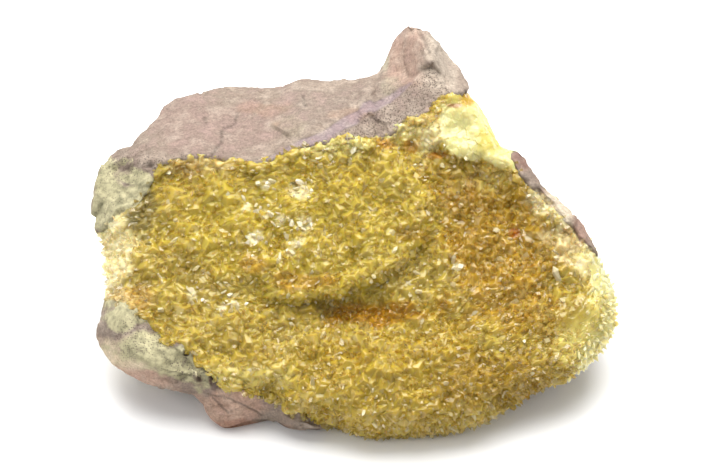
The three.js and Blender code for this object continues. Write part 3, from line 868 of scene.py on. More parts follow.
CRUST_HONEY = "C5AE64"
CRUST_TINTS = (
    # colour, u, v, half width, half height, strength
    ("C8B25C", -17, 2, 45, 24, 0.8),  # mound
    # The valley: a deeper amber, made darker still by painted shade.
    ("C09E4A", 45, -3, 19, 30, 0.9),  # valley
    ("C5AB54", 14, -42, 40, 16, 0.8),  # lower mound
    ("B08F3E", 44, -44, 24, 10, 0.7),
    ("EADFBE", -76, -6, 8, 15, 0.95),  # pale crystals at the left edge
    ("9F8A62", -67, 11, 5, 9, 0.8),  # brown sugary crystals above them
    ("DCC696", -48, 22.5, 15, 3, 0.7),  # cream and orange strip at the top left
    ("CFCB9A", 0, 31, 2, 2, 0.8),
    ("DED2A0", -8, 28, 16, 3, 0.7),  # pale strip along the top
    ("E6DAAA", 14, 33, 9, 3, 0.9),
    ("E2CE98", 21, 36.5, 6, 3, 0.9),
    ("E9DFBC", 23, 31, 5, 5, 0.85),  # white crystals beside the ledge
    ("DCCB8C", 41, 17, 9, 4, 0.7),
    ("EADFC4", 59, 11, 6, 6, 0.85),  # pale rim, from the top down
    ("E0CFAC", 67, 1, 7, 7, 0.85),
    ("E6DAB4", 73, -8, 5, 8, 0.9),
    ("E0D294", 77, -20, 5, 9, 0.9),
    ("E0D294", 73, -36, 10, 8, 0.8),
    ("D9C888", -36, -43, 15, 4, 0.7),  # pale lower left edge
    ("D8B98A", -53, 22, 4, 2.5, 0.3),  # rust stains
    ("C89545", -31, -9, 5, 3, 0.35),
    ("C89545", -17, -14, 8, 3, 0.35),
    # Painted shade: the cave under the overhanging mound is painted a darker orange-brown.
    ("BC8E2C", 5, -24, 17, 4, 0.85),  # cave
    ("C48F45", 9, 29, 3, 1.6, 0.6),
    ("BE833A", 26, 25.5, 3.5, 1.2, 0.7),
    ("C08A48", 17.5, 28, 2.5, 2, 0.5),
    ("B07F34", 36, 15, 3, 5, 0.5),
    ("B9702C", 49.5, 1.5, 1.6, 1.4, 0.7),
    ("CFB080", -68, -19, 8, 5, 0.6),
    ("5A4632", -56.6, -7.8, 0.7, 0.6, 0.8),  # dark grains
    ("6A5238", -64, -2, 0.7, 0.6, 0.6),
    ("5A4632", -19, 16.6, 0.9, 0.5, 0.7),
    ("6A5238", 10, -13.6, 0.5, 0.5, 0.6),
    *((TUFT_WHITE, u, v, 0.65 * r, 0.65 * r, 0.7) for u, v, r in TUFTS),
)

LEDGE_PALE = "DCD2A4"
LEDGE_TINTS = (
    # colour, u, v, half width, half height, strength
    ("E2D8B2", 25, 32, 4, 7, 0.85),  # white crystals along its left edge
    ("D6C67C", 42, 30, 6, 6, 0.8),  # smooth yellow part
    ("D0BE78", 31, 44, 7, 2.5, 0.8),
    ("C9A445", 35.5, 43.5, 2.5, 2.5, 0.8),  # small honey part
    ("B98A6A", 31, 40.8, 2.2, 0.6, 0.8),  # and a reddish streak
    ("D8C47E", 45, 14, 5, 4, 0.7),
    ("DACE98", 76, -10, 5, 6, 0.8),
    ("CDBB74", 78, -30, 5, 12, 0.6),
)

def patched(u, v, patches, seed):
    """The strongest of several soft patches with ragged edges, as a share."""
    stretch = 1 + ragged(u, v, 0.4, 6.0, seed, 3)
    shares = [strength * (1 - smooth(np.hypot((u - a) / hu, (v - b) / hv) * stretch, 0.5, 1.2))
              for a, b, hu, hv, strength in patches]
    return np.max(shares, axis=0)


def painted(u, v, base, tints, seed):
    """A base colour with soft patches laid over it: each patch is a heap with a ragged edge."""
    stretch = 1 + ragged(u, v, 0.45, 7.0, seed, 3)
    tone = np.broadcast_to(linear(base), (*u.shape, 3)).copy()
    for code, at_u, at_v, half_u, half_v, strength in tints:
        far = np.hypot((u - at_u) / half_u, (v - at_v) / half_v) * stretch
        share = (strength * (1 - smooth(far, 0.6, 1.25)))[..., None]
        tone = tone * (1 - share) + linear(code) * share
    return tone


def honey_tone(u, v):
    """The crystals' colour, which the points and the mass below them share."""
    return painted(u, v, CRUST_HONEY, CRUST_TINTS, seed=61)


def ledge_tone(u, v):
    """The massive calcite's colour, which the ledge and the fanned rim share."""
    return painted(u, v, LEDGE_PALE, LEDGE_TINTS, seed=82)


def thinned(tone, power):
    """A paler colour for something that light passes through more than once: the tone to a power
    below one."""
    return np.clip(tone, 0, 1) ** power


# ---- Shapes of the pieces ----

# Steps of the grids: the rock's rings have columns round it and rows from the middle out and down
# its sides. The mass is a square of steps, with rings from its rim down, and points are scattered
# on rings of its own.
ROCK_COLUMNS, ROCK_FACE_ROWS, ROCK_SIDE_ROWS = 720, 82, 54
BED_COLUMNS, BED_FACE_ROWS, BED_LIP_ROWS = 540, 110, 12
BED_SIDE = 290
ROCK_MIDDLE_DEPTH = 30.0  # of the place where the rock's innermost ring closes, below the centre

# The rock's relief. Shards: size, seed, steepness, height. Rubble: size, seed, octaves.
ROCK_BLOCKS = (13.0, 101, 0.5, 0.9)
ROCK_CHIPS = (3.6, 151, 0.45, 0.7)
BLOCK_STRETCH = (1, 1, 1.4)  # divides the blocks' size along X, Y and Z
ROCK_LUMPS = (9.0, 201, 4)
LUMP_RISES = (0.14, 0.4)  # everywhere, and as much again where the rock is rough
ROCK_GRIT = (1.6, 231, 2)
GRIT_RISE = 0.17
FACE_ROUGHNESS = 0.14  # of the broken face, as a share of the sides'
SIDE_START = (0.08, 0.45)  # shares of the way down between which the sides' roughness starts
CHIP_GAPS = (0.25, 0.35)  # depth and width of the gaps between chips
PITS = (0.22, 0.95, 251)  # in the speckled layer: depth, size, seed
GROOVE_DEPTH = 0.2  # of the horn's grooves
CREASE_DEPTH, CRACK_DEPTH, HOLLOW_DEPTH = 0.9, 0.2, 1.6
RELIEF_FROM = 7.0  # relief grows from none at the joint face to whole at this height
# Grooves down the horn's right flank: spacing in millimetres, height.
HORN_GROOVES = ((1.9, 0.6), (0.83, 0.4))
HORN_ACROSS = (0.81, 0.59)  # direction across them
HORN_FLANK = ((0, 1.2), (49, 53), 50)  # from its crest, from its foot, and its end along u
HOLLOWS = (1.0, 2.0, 261, 1)  # height of the rotten hollows' rubble, its size, seed and octaves

# The mass's relief. Tips: size, seed, slope, lift. Cleaved facets: size, seed, steepness.
CRYSTAL_TIPS = ((3.1, 301, 0.7, 0.0), (2.1, 311, 0.7, 0.2))
CLEAVED_FACETS = ((2.8, 321, 0.16), (1.6, 325, 0.16))
CLEAVED_LUMPS = (4.0, 331, 3)
FACETS_RISE, LUMPS_RISE = 0.5, 0.35
TIPS_LIFT, CLEAVED_LIFT = 0.4, 0.6  # of both out of the mass
RELIEF_ENDS = (-2.5, -0.8)  # it dies out between these distances inside the crust's edge

# Layers of calcite points: name, share of the usual size and spacing, seed.
POINT_LAYERS = (("points_large", 1.0, 5), ("points_small", 0.7, 6))
NOWHERE = np.zeros((0, 3))
PACKING_ROUNDS = 3
POINTS_TRIED = 20000  # places in each round
TAKEN_GAP = 0.8  # of a small point from a large one, as a share of the small points' gap
# Powers that turn a colour as seen into the base colour of glassy points and of the mass.
GLASS_POWER = np.array([0.35, 0.43, 0.65])
MASS_POWER = np.array([1.55, 1.38, 1.45])
LARGER_RIGHT = (0.15, 10, 50)  # share by which the points grow, and between which u
LENGTH_SPREAD = (0.8, 1.2)
WIDTH_SPREAD = (0.85, 1.2)
POINT_LEAN = 0.42  # how far points lean at random, and how far they flare outwards
POINT_FLARE = 0.3
FLARE_REACH = (80, 60, 0.35)  # u and v where the flare is whole, and the share of it along v
POINT_STANDING = 0.5  # share of a point's length that stands out of the mass
POINT_TONE_REACH = 1.1  # how far off a point's colour is picked, in millimetres
POINT_TONES = 0.04  # spread of the points' colours
TUFT_POWDER = (0.3, 0.8)  # how powdery points are in the tufts
POWDERY_SHARE = 0.06  # of the points outside them
OTHER_POWDER = (0.2, 0.5)

# The fanned rim's blades.
BLADE_SPACING = 1.9
BLADES_TRIED = 9000
BLADE_LENGTHS = (5.0, 7.5)
BLADE_WIDTHS = (1.8, 3.2)
BLADE_SUNK = 0.6  # share of a blade's length that lies in the mass
BLADE_LEANS = (0.25, 0.1)  # towards the surface's direction, and at random
BLADE_TONES = 0.06  # spread of their colours
BALL_DEPTH = 6.0  # below the tips, of the place that they fan out from

# How the rock and the mass meet along the crust's edge.
ROCK_UNDER_CRUST = 5.0  # how far the rock's face goes on under the crust's edge
FACE_LEAST = 3.0  # least width of the rock's face beside that
ROCK_DIPS = ((2.4, -0.5, 1.5), (6.0, 1.5, 5.0))  # there: depth, and between which distances
LIP_DIP = 3.0  # how far the rock's edge is lowered under the crystal lip
RING_SLOPE = 0.4  # steepest change of reach from a rock ring's point to the next
BED_RING_SLOPE = 0.5  # and of the mass's
BED_EDGE_INSET = 1.6  # of the mass's rim from the outline
BED_UNDER_ROCK = 3.0  # how far the mass goes on under the rock
# At its edge the mass loses a share of its depth, between two distances inside the edge, and only
# this far or further from the outline.
THIN_EDGE = (0.85, 0.3, 3.5, 3.0)
BED_BELOW_TIPS = 1.7  # how far the crystalline mass lies below the tips
BED_DIPS = ((3.5, 0.4, 2.0), (4.0, 2.5, 7.0))  # under the rock: depth, and between which distances
LIP_LENGTH = 9.0  # how far the crust reaches down past the edge
LIP_LEAST_GAP = 0.08  # share of the side that it leaves free above the joint face
RIM_DEPTH = 3.0  # how far its rim goes down into the rock elsewhere


def directions_of(edge):
    """Reach of each point of the edge from the middle, and its direction."""
    reach = np.hypot(edge[:, 0], edge[:, 1])
    return reach, edge / reach[:, None]


def fallen(reach, out, drop, width, rounding=EDGE_ROUNDING):
    """How far the face has fallen towards the edge, at a distance from the middle."""
    nearness = 1 - np.clip((reach - out) / width, 0, 1)
    return drop * nearness ** rounding


def rock_grid():
    """The rock's rings. Its face runs from under the crust to the edge, and its sides from the
    edge to the joint face. Under the crystal lip the edge is drawn in and lowered."""
    edge, drop, width = outline(ROCK_COLUMNS)
    reach, way = directions_of(edge)
    limit = crossing(way, CRUST_REGION)
    lip = smooth(round_mean(limit - reach, 3), -1.0, 4.0)
    edge_reach = reach - lip * LIP_INSET
    start = np.minimum(limit, edge_reach - FACE_LEAST) - ROCK_UNDER_CRUST
    start = held_down(start, RING_SLOPE)
    share = np.linspace(0, 1, ROCK_FACE_ROWS)[:, None]
    out = start + (edge_reach - start) * share
    u, v = out * way[:, 0], out * way[:, 1]
    inside = crust_margin(u, v)
    sunk = sum(dip * smooth(inside, near, far) for dip, near, far in ROCK_DIPS) + lip * LIP_DIP
    w = face_height(u, v) - fallen(edge_reach, out, drop, width, ROCK_ROUNDING) - sunk
    face = to_world(u, v, w)
    face[..., 2] = np.maximum(face[..., 2], LOWEST_EDGE)
    base = base_points(face[-1])
    shares = np.linspace(0, 1, ROCK_SIDE_ROWS + 1)[1:]
    sides = side_points(face[-1], base, shares)
    down = np.concatenate([np.zeros(ROCK_FACE_ROWS), shares])
    return np.concatenate([face, sides]), down[:, None]


def inside_box(vertices, inset=0.1):
    """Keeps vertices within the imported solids' box, less an inset, and down to the floor."""
    low = np.array(CAD_BOX[0]) / MM + inset
    high = np.array(CAD_BOX[1]) / MM - inset
    low[2] = 0.0
    return np.clip(vertices, low, high)


def horn_stripes(u, v):
    """Height of the grooves down the horn's right flank, from -1 to 1, and where they are."""
    up = (v - HORN_ROOT[1]) / (HORN_TIP[1] - HORN_ROOT[1])
    crest = HORN_ROOT[0] + (HORN_TIP[0] - HORN_ROOT[0]) * up
    across = u * HORN_ACROSS[0] + v * HORN_ACROSS[1] + ragged(u, v, *GROOVE_WAVER)
    past_crest, past_foot, end = HORN_FLANK
    flank = smooth(u - crest, *past_crest) * smooth(v, *past_foot) * (u < end)
    waves = sum(np.sin(across * 2 * np.pi / wide) * height for wide, height in HORN_GROOVES)
    return waves, flank


def rotten(u, v):
    """Hollows eaten into the rock: the low parts of a rumple, within their patches."""
    hollow = smooth(ragged(u, v, *HOLLOWS), 0.05, 0.4)
    return patched(u, v, ROTTEN_PATCHES, seed=95) * hollow


def rock_shape():
    """The rock's rings broken up: shards, rubble and fine grain pushed along the normals, strong
    on the sides and weak on the face."""
    points, down = rock_grid()
    normals = grid_normals(points)
    u, v, _ = to_display(points)
    past, band = past_ridge(u, v)
    on_band = smooth(past, -1, 0.5) * (1 - smooth(past - band, -0.5, 0.3))
    face_rough = np.maximum(FACE_ROUGHNESS, patched(u, v, ROUGH_PATCHES, seed=91))
    rough = face_rough + (1 - face_rough) * smooth(down, *SIDE_START)
    blocks, _ = shards(points * np.array(BLOCK_STRETCH), *ROCK_BLOCKS[:3])
    chips, gap = shards(points, *ROCK_CHIPS[:3])
    relief = rough * (ROCK_BLOCKS[3] * blocks + ROCK_CHIPS[3] * chips)
    relief += rubble(points, *ROCK_LUMPS) * (LUMP_RISES[0] + LUMP_RISES[1] * rough)
    relief += GRIT_RISE * rubble(points, *ROCK_GRIT) * (1 + rough)
    relief -= CHIP_GAPS[0] * rough * (1 - smooth(gap, 0.0, CHIP_GAPS[1]))
    depth, size, seed = PITS
    relief -= depth * on_band * smooth(rumple(points, size, seed), 0.2, 0.6)
    stripes, flank = horn_stripes(u, v)
    relief += GROOVE_DEPTH * stripes * flank * (1 - smooth(down, 0, 0.1))
    relief -= (CREASE_DEPTH * on_lines(u, v, [HORN_CREASE], 1.2)
               + CRACK_DEPTH * on_lines(u, v, CRACKS, 0.6))
    relief -= HOLLOW_DEPTH * rotten(u, v)
    low = smooth(points[..., 2], 0.0, RELIEF_FROM)
    points = points + normals * (relief * low)[..., None]
    return inside_box(points)


def crust_ring():
    """The crust's rim over direction, as columns: the direction, how far the mass reaches, the
    edge, drop and width there, and whether it goes over the lip."""
    edge, drop, width = outline(BED_COLUMNS)
    reach, way = directions_of(edge)
    limit = crossing(way, CRUST_REGION)
    lip = smooth(round_mean(limit - reach, 2), -0.6, 0.6)
    edge_reach = reach - BED_EDGE_INSET
    end = -held_down(-np.minimum(limit + BED_UNDER_ROCK, edge_reach), BED_RING_SLOPE)
    return np.arctan2(way[:, 1], way[:, 0]), np.stack([
        np.minimum(end, edge_reach), edge_reach, drop, width, lip])


def crust_base_height(u, v):
    """Height of the crust, held at its level on the ridge where it runs past it."""
    past, _ = past_ridge(u, v)
    return np.minimum(crust_height(u, np.minimum(v, v - past)), face_height(u, v))


def bed_face(turn, share):
    """Places on the crystalline mass at a direction and a share of its reach there. It lies a set
    depth below the tips, less at its thin edge, and dips under the rock past that."""
    ring_turn, columns = crust_ring()
    end, edge_reach, drop, width, _ = (
        np.interp(turn, ring_turn, column, period=2 * np.pi) for column in columns)
    out = end * share
    u, v = out * np.cos(turn), out * np.sin(turn)
    inside = crust_margin(u, v)
    lost, near, far, clear = THIN_EDGE
    thin = 1 - lost * (1 - smooth(inside, near, far)) * (edge_reach - out > clear)
    w = crust_base_height(u, v) - fallen(edge_reach, out, drop, width)
    w = w - BED_BELOW_TIPS * thin
    for dip, near, far in BED_DIPS:
        w = w - dip * smooth(-inside, near, far)
    points = to_world(u, v, w)
    points[..., 2] = np.maximum(points[..., 2], LOWEST_EDGE)
    return points


def bed_lip(turn, rim):
    """Rings below the crust's rim: down the side where it goes over the lip, and down into the
    rock elsewhere."""
    ring_turn, columns = crust_ring()
    lip = np.interp(turn, ring_turn, columns[-1], period=2 * np.pi)
    base = base_points(rim)
    share = np.linspace(0, 1, BED_LIP_ROWS + 1)[1:, None]
    reach_down = LIP_LENGTH / np.linalg.norm(base - rim, axis=1)
    reach_down = np.clip(reach_down, 0, 1 - LIP_LEAST_GAP)
    down = rim[None] + (base - rim)[None] * (share * reach_down[None, :])[..., None]
    u, v, w = to_display(rim)
    under = to_world(u, v, w - RIM_DEPTH * share)
    return down * lip[None, :, None] + under * (1 - lip[None, :, None])


def sites(low, high):
    """The crust as rings to scatter points on: their places, u and v, and their share of growth.
    It starts between two distances inside the crust's edge, and below the rim it is the share of
    the crust that goes over the lip there."""
    turn, columns = crust_ring()
    share = np.linspace(0.01, 1, BED_FACE_ROWS)[:, None] ** 0.8
    face = bed_face(np.broadcast_to(turn, (BED_FACE_ROWS, BED_COLUMNS)), share)
    points = np.concatenate([face, bed_lip(turn, face[-1])])
    u, v, _ = to_display(points)
    on_face = (np.arange(len(points)) < BED_FACE_ROWS)[:, None]
    return points, u, v, np.where(on_face, smooth(crust_margin(u, v), low, high), columns[-1])


def bed_shape():
    """The crystalline mass: a square grid squeezed into a disc, whose rim goes on as rings and
    closes at their mean. Relief is pushed along its normals: crystal tips, and where the calcite
    is massive, low cleavage faces."""
    side = np.linspace(-1, 1, BED_SIDE)
    x, y = np.meshgrid(side, side)
    across, up = x * np.sqrt(1 - y * y / 2), y * np.sqrt(1 - x * x / 2)
    face = bed_face(np.arctan2(up, across), np.hypot(across, up))
    index = np.arange(BED_SIDE ** 2).reshape(BED_SIDE, BED_SIDE)
    loop = np.concatenate([index[0, :-1], index[:-1, -1], index[-1, :0:-1], index[:0:-1, 0]])
    turn = np.arctan2(up, across).ravel()[loop]
    rings = bed_lip(turn, face.reshape(-1, 3)[loop])
    around = len(loop)
    later = BED_SIDE ** 2 + np.arange(BED_LIP_ROWS * around).reshape(BED_LIP_ROWS, around)
    rows = np.concatenate([loop[None], later])
    beside = np.roll(rows, -1, axis=1)
    quads = np.concatenate([
        np.stack(corners, axis=-1).reshape(-1, 4) for corners in (
            (index[:-1, :-1], index[:-1, 1:], index[1:, 1:], index[1:, :-1]),
            (rows[:-1], rows[1:], beside[1:], beside[:-1]))])
    bottom = np.full(around, BED_SIDE ** 2 + BED_LIP_ROWS * around)
    fan = np.stack([bottom, beside[-1], rows[-1]], axis=-1)
    vertices = np.concatenate([face.reshape(-1, 3), rings.reshape(-1, 3),
                               rings[-1].mean(0, keepdims=True)])
    normals = vertex_normals(vertices, [quads, fan])
    u, v, _ = to_display(vertices)
    massive = massive_share(u, v)
    crowd = np.max([tips(vertices, normals, *tip) + lift for *tip, lift in CRYSTAL_TIPS], axis=0)
    cleaved = sum(shards(vertices, *facets)[0] for facets in CLEAVED_FACETS)
    cleaved = FACETS_RISE * cleaved + LUMPS_RISE * rubble(vertices, *CLEAVED_LUMPS)
    relief = (crowd + TIPS_LIFT) * (1 - massive) + (cleaved + CLEAVED_LIFT) * massive
    # None on the last ring, where the mesh closes, or where the mass lies under the rock.
    relief = relief * smooth(np.arange(len(vertices)), len(vertices), len(vertices) - around - 1)
    relief = relief * smooth(crust_margin(u, v), *RELIEF_ENDS)
    return inside_box(vertices + normals * relief[:, None]), [quads, fan]


def scattered(points, weights, tries, rng):
    """Places scattered on a grid of rings, and their outward directions: cells drawn by their
    area and weight, and a random place in each."""
    corner = points[:-1]
    down = points[1:] - corner
    beside = np.roll(corner, -1, axis=1) - corner
    area = np.linalg.norm(np.cross(down, beside), axis=-1) * weights[:-1]
    running = np.cumsum(area.ravel())
    cell = np.searchsorted(running, rng.random(tries) * running[-1])
    row, column = np.unravel_index(np.minimum(cell, area.size - 1), area.shape)
    a, b = rng.random((2, tries, 1))
    after = (column + 1) % points.shape[1]
    place = ((1 - a) * (1 - b) * points[row, column] + a * (1 - b) * points[row + 1, column]
             + (1 - a) * b * points[row, after] + a * b * points[row + 1, after])
    return place, grid_normals(points)[row, column]


def cell_keys(cells):
    """One whole number for each whole-number cell."""
    shifted = cells.astype(np.int64) + 2048
    return (shifted[..., 0] * 4096 + shifted[..., 1]) * 4096 + shifted[..., 2]


def crowded(place, others, gap, ranked=False):
    """Which places have one of the others within a gap. The others are looked up by the cell they
    are in: cells are so small that each holds one. If ranked, both are the same list and only
    earlier ones count."""
    cell = gap / 3 ** 0.5
    keys = cell_keys(np.floor(others / cell))
    order = np.argsort(keys, kind="stable")
    keys = keys[order]
    home = np.floor(place / cell)
    hit = np.zeros(len(place), bool)
    for step in corners_of(range(-2, 3)):
        key = cell_keys(home + step)
        at = np.minimum(np.searchsorted(keys, key), len(keys) - 1)
        other = order[at]
        near = (keys[at] == key) & (np.linalg.norm(place - others[other], axis=1) < gap)
        hit |= near & (other < np.arange(len(place))) if ranked else near
    return hit


def spaced(place, gap):
    """Indices of places that keep a gap from each other: one for each cell, and then none with an
    earlier one near it."""
    _, first = np.unique(cell_keys(np.floor(place / (gap / 3 ** 0.5))), return_index=True)
    first.sort()
    return first[~crowded(place[first], place[first], gap, ranked=True)]


def packed(points, weights, gap, taken, tries, rng):
    """Places packed on a grid of rings with a gap from each other, and a smaller one from those
    taken: rounds of scattering, each into the room that the rounds before it left."""
    kept, directions = NOWHERE, NOWHERE
    for _ in range(PACKING_ROUNDS):
        place, normal = scattered(points, weights, tries, rng)
        for others, distance in ((taken, TAKEN_GAP * gap), (kept, gap)):
            if len(others):
                room = ~crowded(place, others, distance)
                place, normal = place[room], normal[room]
        chosen = spaced(place, gap)
        kept = np.concatenate([kept, place[chosen]])
        directions = np.concatenate([directions, normal[chosen]])
    return kept, directions


# A calcite point as fourteen corners: its root, six corners round its foot, six round its
# shoulder, and its tip. It has twenty-four faces.
SIXTHS = np.arange(6)
NEXT = (SIXTHS + 1) % 6
POINT_FACES = np.concatenate([
    np.stack([np.zeros(6, int), 1 + NEXT, 1 + SIXTHS], axis=1),
    np.stack([1 + SIXTHS, 1 + NEXT, 7 + SIXTHS], axis=1),
    np.stack([1 + NEXT, 7 + NEXT, 7 + SIXTHS], axis=1),
    np.stack([7 + SIXTHS, 7 + NEXT, np.full(6, 13)], axis=1),
])
ROOT_DEPTH = 0.35  # of its root below its foot, as a share of its length
FOOT_SWELL = 0.12  # share by which every second corner of its foot stands out and the next in
NARROWING = (0.55, 0.85)  # width of its shoulder as a share of its foot's
END_SLOPES = (1.1, 2.8)  # of its three end faces
HIGH_CORNER = 0.5  # drop of every second shoulder corner as a share of its neighbours'
POINT_FLATNESS = (0.4, 0.95)  # its thickness as a share of its width
BLADE_FLATNESS = (0.3, 0.5)
POINT_BOX_INSET = 0.02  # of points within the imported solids' box


def calcite_points(place, axis, length, width, rng, flatness=POINT_FLATNESS):
    """Calcite points as whole arrays. Each is a six-sided spike that narrows from its foot to its
    shoulder, and ends in three sloping faces that meet at the tip, so that every second corner
    of the shoulder is lower. It is turned to its axis, spun about it and flattened a little."""
    count = len(place)
    spin = rng.random(count) * 2 * np.pi
    side = unit(np.cross(axis, unit(rng.normal(size=(count, 3)))))
    other = np.cross(axis, side)
    flat = rng.uniform(*flatness, count)
    narrowing = rng.uniform(*NARROWING, count)
    slope = rng.uniform(*END_SLOPES, count)
    turn = spin[:, None] + SIXTHS * np.pi / 3
    foot = width[:, None] / 2 * (1 + FOOT_SWELL * np.cos(SIXTHS * np.pi))
    shoulder = width[:, None] / 2 * narrowing[:, None] * np.ones(6)
    shoulder_drop = shoulder * slope[:, None] * np.where(SIXTHS % 2 == 0, 1.0, HIGH_CORNER)
    local = np.zeros((count, 14, 3))
    local[:, 0, 2] = -ROOT_DEPTH * length
    for first, radius in ((1, foot), (7, shoulder)):
        local[:, first:first + 6, 0] = radius * np.cos(turn)
        local[:, first:first + 6, 1] = radius * np.sin(turn) * flat[:, None]
    local[:, 7:13, 2] = length[:, None] - shoulder_drop
    local[:, 13, 2] = length
    return place[:, None, :] + np.einsum("nki,nij->nkj", local,
                                         np.stack([side, other, axis], axis=1))


def points_object(name, corners, values):
    """One object of many calcite points: one point's faces, counted on by its corners for each.
    Values, one for each point, become attributes."""
    count, each = corners.shape[:2]
    faces = (np.arange(count)[:, None, None] * each + POINT_FACES).reshape(-1, 3)
    attributes = {title: np.repeat(one, each, axis=0) for title, one in values.items()}
    vertices = inside_box(corners.reshape(-1, 3), POINT_BOX_INSET)
    return mesh_object(name, vertices, faces, False, attributes)


def druse_points(place, normal, share, sizes, rng):
    """The druse's points at places. Each leans away from the surface's direction at random and
    flares outwards, is a little larger at the right, and stands out of the mass by a share of its
    length."""
    count = len(place)
    u, v, _ = to_display(place)
    far_u, far_v, along_v = FLARE_REACH
    flare = np.stack([u / far_u, 0 * u, along_v * np.minimum(0, v / far_v)], axis=1)
    axis = unit(normal + POINT_LEAN * rng.normal(size=(count, 3)) + POINT_FLARE * flare)
    more, *span = LARGER_RIGHT
    growth = share * (1 + more * smooth(u, *span))
    length = growth * sizes.crystal_length / MM * rng.uniform(*LENGTH_SPREAD, count)
    width = growth * sizes.crystal_width / MM * rng.uniform(*WIDTH_SPREAD, count)
    root = place - axis * ((1 - POINT_STANDING) * length)[:, None]
    return calcite_points(root, axis, length, width, rng)


def druse_colours(u, v, rng):
    """Each point's colour and how powdery it is. It takes the honey colour of a place close by,
    and goes white where it is powdery: most often in a tuft, and here and there elsewhere."""
    count = len(u)
    u = u + rng.normal(0, POINT_TONE_REACH, count)
    v = v + rng.normal(0, POINT_TONE_REACH, count)
    tone = honey_tone(u, v)
    tuft = sum(1 - smooth(np.hypot(u - a, v - b) / r, 0.6, 1.2) for a, b, r in TUFTS)
    powder = (rng.random(count) < tuft) * rng.uniform(*TUFT_POWDER, count)
    other = (rng.random(count) < POWDERY_SHARE) * rng.uniform(*OTHER_POWDER, count)
    powder = np.maximum(powder, other)
    tone += powder[:, None] * (linear(TUFT_WHITE) - tone)
    tone = thinned(tone, GLASS_POWER) * (1 + POINT_TONES * rng.normal(size=(count, 1)))
    return np.clip(tone, 0, 1), powder


def rock_specks(u, v):
    """How thick dark grains lie on the rock: in the speckled layer, and in patches."""
    past, band = past_ridge(u, v)
    layer = smooth(past, -1.5, 0) * (1 - smooth(past, band - 0.5, band + 0.5))
    return np.maximum(0.9 * layer, 0.8 * patched(u, v, SPECK_PATCHES, seed=93))


def rock_tone(u, v, specks):
    """The rock's colour: its tints, paler in the speckled layer, painted light and shade on the
    horn's grooves, paler on their crests and darker between them, mauve on the layer beyond, and
    darker along that layer's edges. Painted shade darkens cracks and creases and deepens the brown
    of the rotten hollows."""
    past, band = past_ridge(u, v)
    tone = painted(u, v, ROCK_PINK, ROCK_TINTS, seed=41)
    in_layer = specks * (past > -1) * (past < band + 1)
    tone *= 1 + SPECKLED_PALER * in_layer[..., None]
    stripes, flank = horn_stripes(u, v)
    # Painted light and shade: paler on the crests between the horn's grooves, darker in the grooves.
    tone *= (1 + GROOVE_LIGHT_AND_SHADE * stripes * flank)[..., None]
    beyond, wide = past - band, np.interp(u, *RISER_WIDTH.T)
    shown = smooth(wide, 0, 1)
    riser = smooth(beyond, -0.3, 0.1) * (1 - smooth(beyond, wide - 0.3, wide + 0.2)) * shown
    tone += RISER_SHARE * riser[..., None] * (linear(RISER_MAUVE) - tone)
    edges = np.exp(-((beyond - wide) / 0.45) ** 2) + np.exp(-((beyond - 0.1) / 0.3) ** 2)
    # Painted shade: darker in the cracks, in the horn's crease and, over the brown of the rot, in
    # the rotten hollows.
    lines = CRACK_SHADE * on_lines(u, v, CRACKS, 0.55)
    lines = lines + CREASE_SHADE * on_lines(u, v, [HORN_CREASE], 0.8)
    dark = EDGE_DARK * edges * shown + lines + ROT_AND_SHADE_DARK * rotten(u, v)
    return tone * (1 - np.clip(dark, 0, DARKEST)[..., None])


# ---- The stage ----

FLOOR_REACH = 3000.0  # millimetres, half its side
# Area lights: name, place and side in metres, power in watts. They face the specimen's middle.
SOFTBOXES = (
    ("softbox_top", (0.0, 0.38, 0.8), 0.95, 19.0),
    ("softbox_left", (-0.75, -0.35, 0.6), 0.5, 2.0),
    ("softbox_right", (0.7, -0.1, 0.5), 0.3, 0.8),
)
SPECIMEN_MIDDLE = (0, 0, 0.03)
WALL_LIGHT = 0.45  # strength of the white light from all round
LENS, FILM = 400.0, 36.0  # millimetres
VIEW_WIDTH = 219.5  # millimetres across the picture, at the display centre
VIEW_CENTRE = (-0.3, 0.2)  # u and v in the middle of the picture


# ---- Operators ----


class SPECIMEN_OT_rock(bpy.types.Operator):
    """The broken lump of rhyolite, with its plateau, speckled layer, horn and walls"""

    bl_idname = "specimen.rock"
    bl_label = "Host Rock"

    def execute(self, context):
        points = rock_shape()
        rows, columns = points.shape[:2]
        count = rows * columns
        u, v, _ = to_display(points)
        specks = rock_specks(u, v)
        coat = patched(u, v, COAT_PATCHES, seed=92) * (1 - rotten(u, v))
        tone = rock_tone(u, v, specks)
        vertices = np.concatenate([points.reshape(-1, 3),
                                   to_world(0, 0, -ROCK_MIDDLE_DEPTH)[None],
                                   [[0, BASE_CENTRE_Y, 0]]])
        piece = mesh_object(
            "rhyolite_lump", vertices, ring_faces(rows, columns, count, count + 1), True,
            {"tone": np.concatenate([tone.reshape(-1, 3), tone[0, :1], tone[0, :1]]),
             "specks": np.concatenate([specks.ravel(), [0, 0]]),
             "coat": np.concatenate([coat.ravel(), [0, 0]])})
        seated(piece, "host_rock", rhyolite_material(context.scene.specimen_tones))
        return {"FINISHED"}


class SPECIMEN_OT_bed(bpy.types.Operator):
    """The crystalline mass that the points grow out of"""

    bl_idname = "specimen.bed"
    bl_label = "Crystalline Mass"

    def execute(self, context):
        vertices, faces = bed_shape()
        u, v, _ = to_display(vertices)
        tone = honey_tone(u, v)
        massive = massive_share(u, v) * (1 - in_ball(u, v))
        tone = tone + massive[:, None] * (ledge_tone(u, v) - tone)
        piece = mesh_object("calcite_bed", vertices, faces, False,
                            {"tone": thinned(tone, MASS_POWER)})
        seated(piece, "calcite_crust", massive_material("Calcite_massive", 1.0, 0.15))
        return {"FINISHED"}


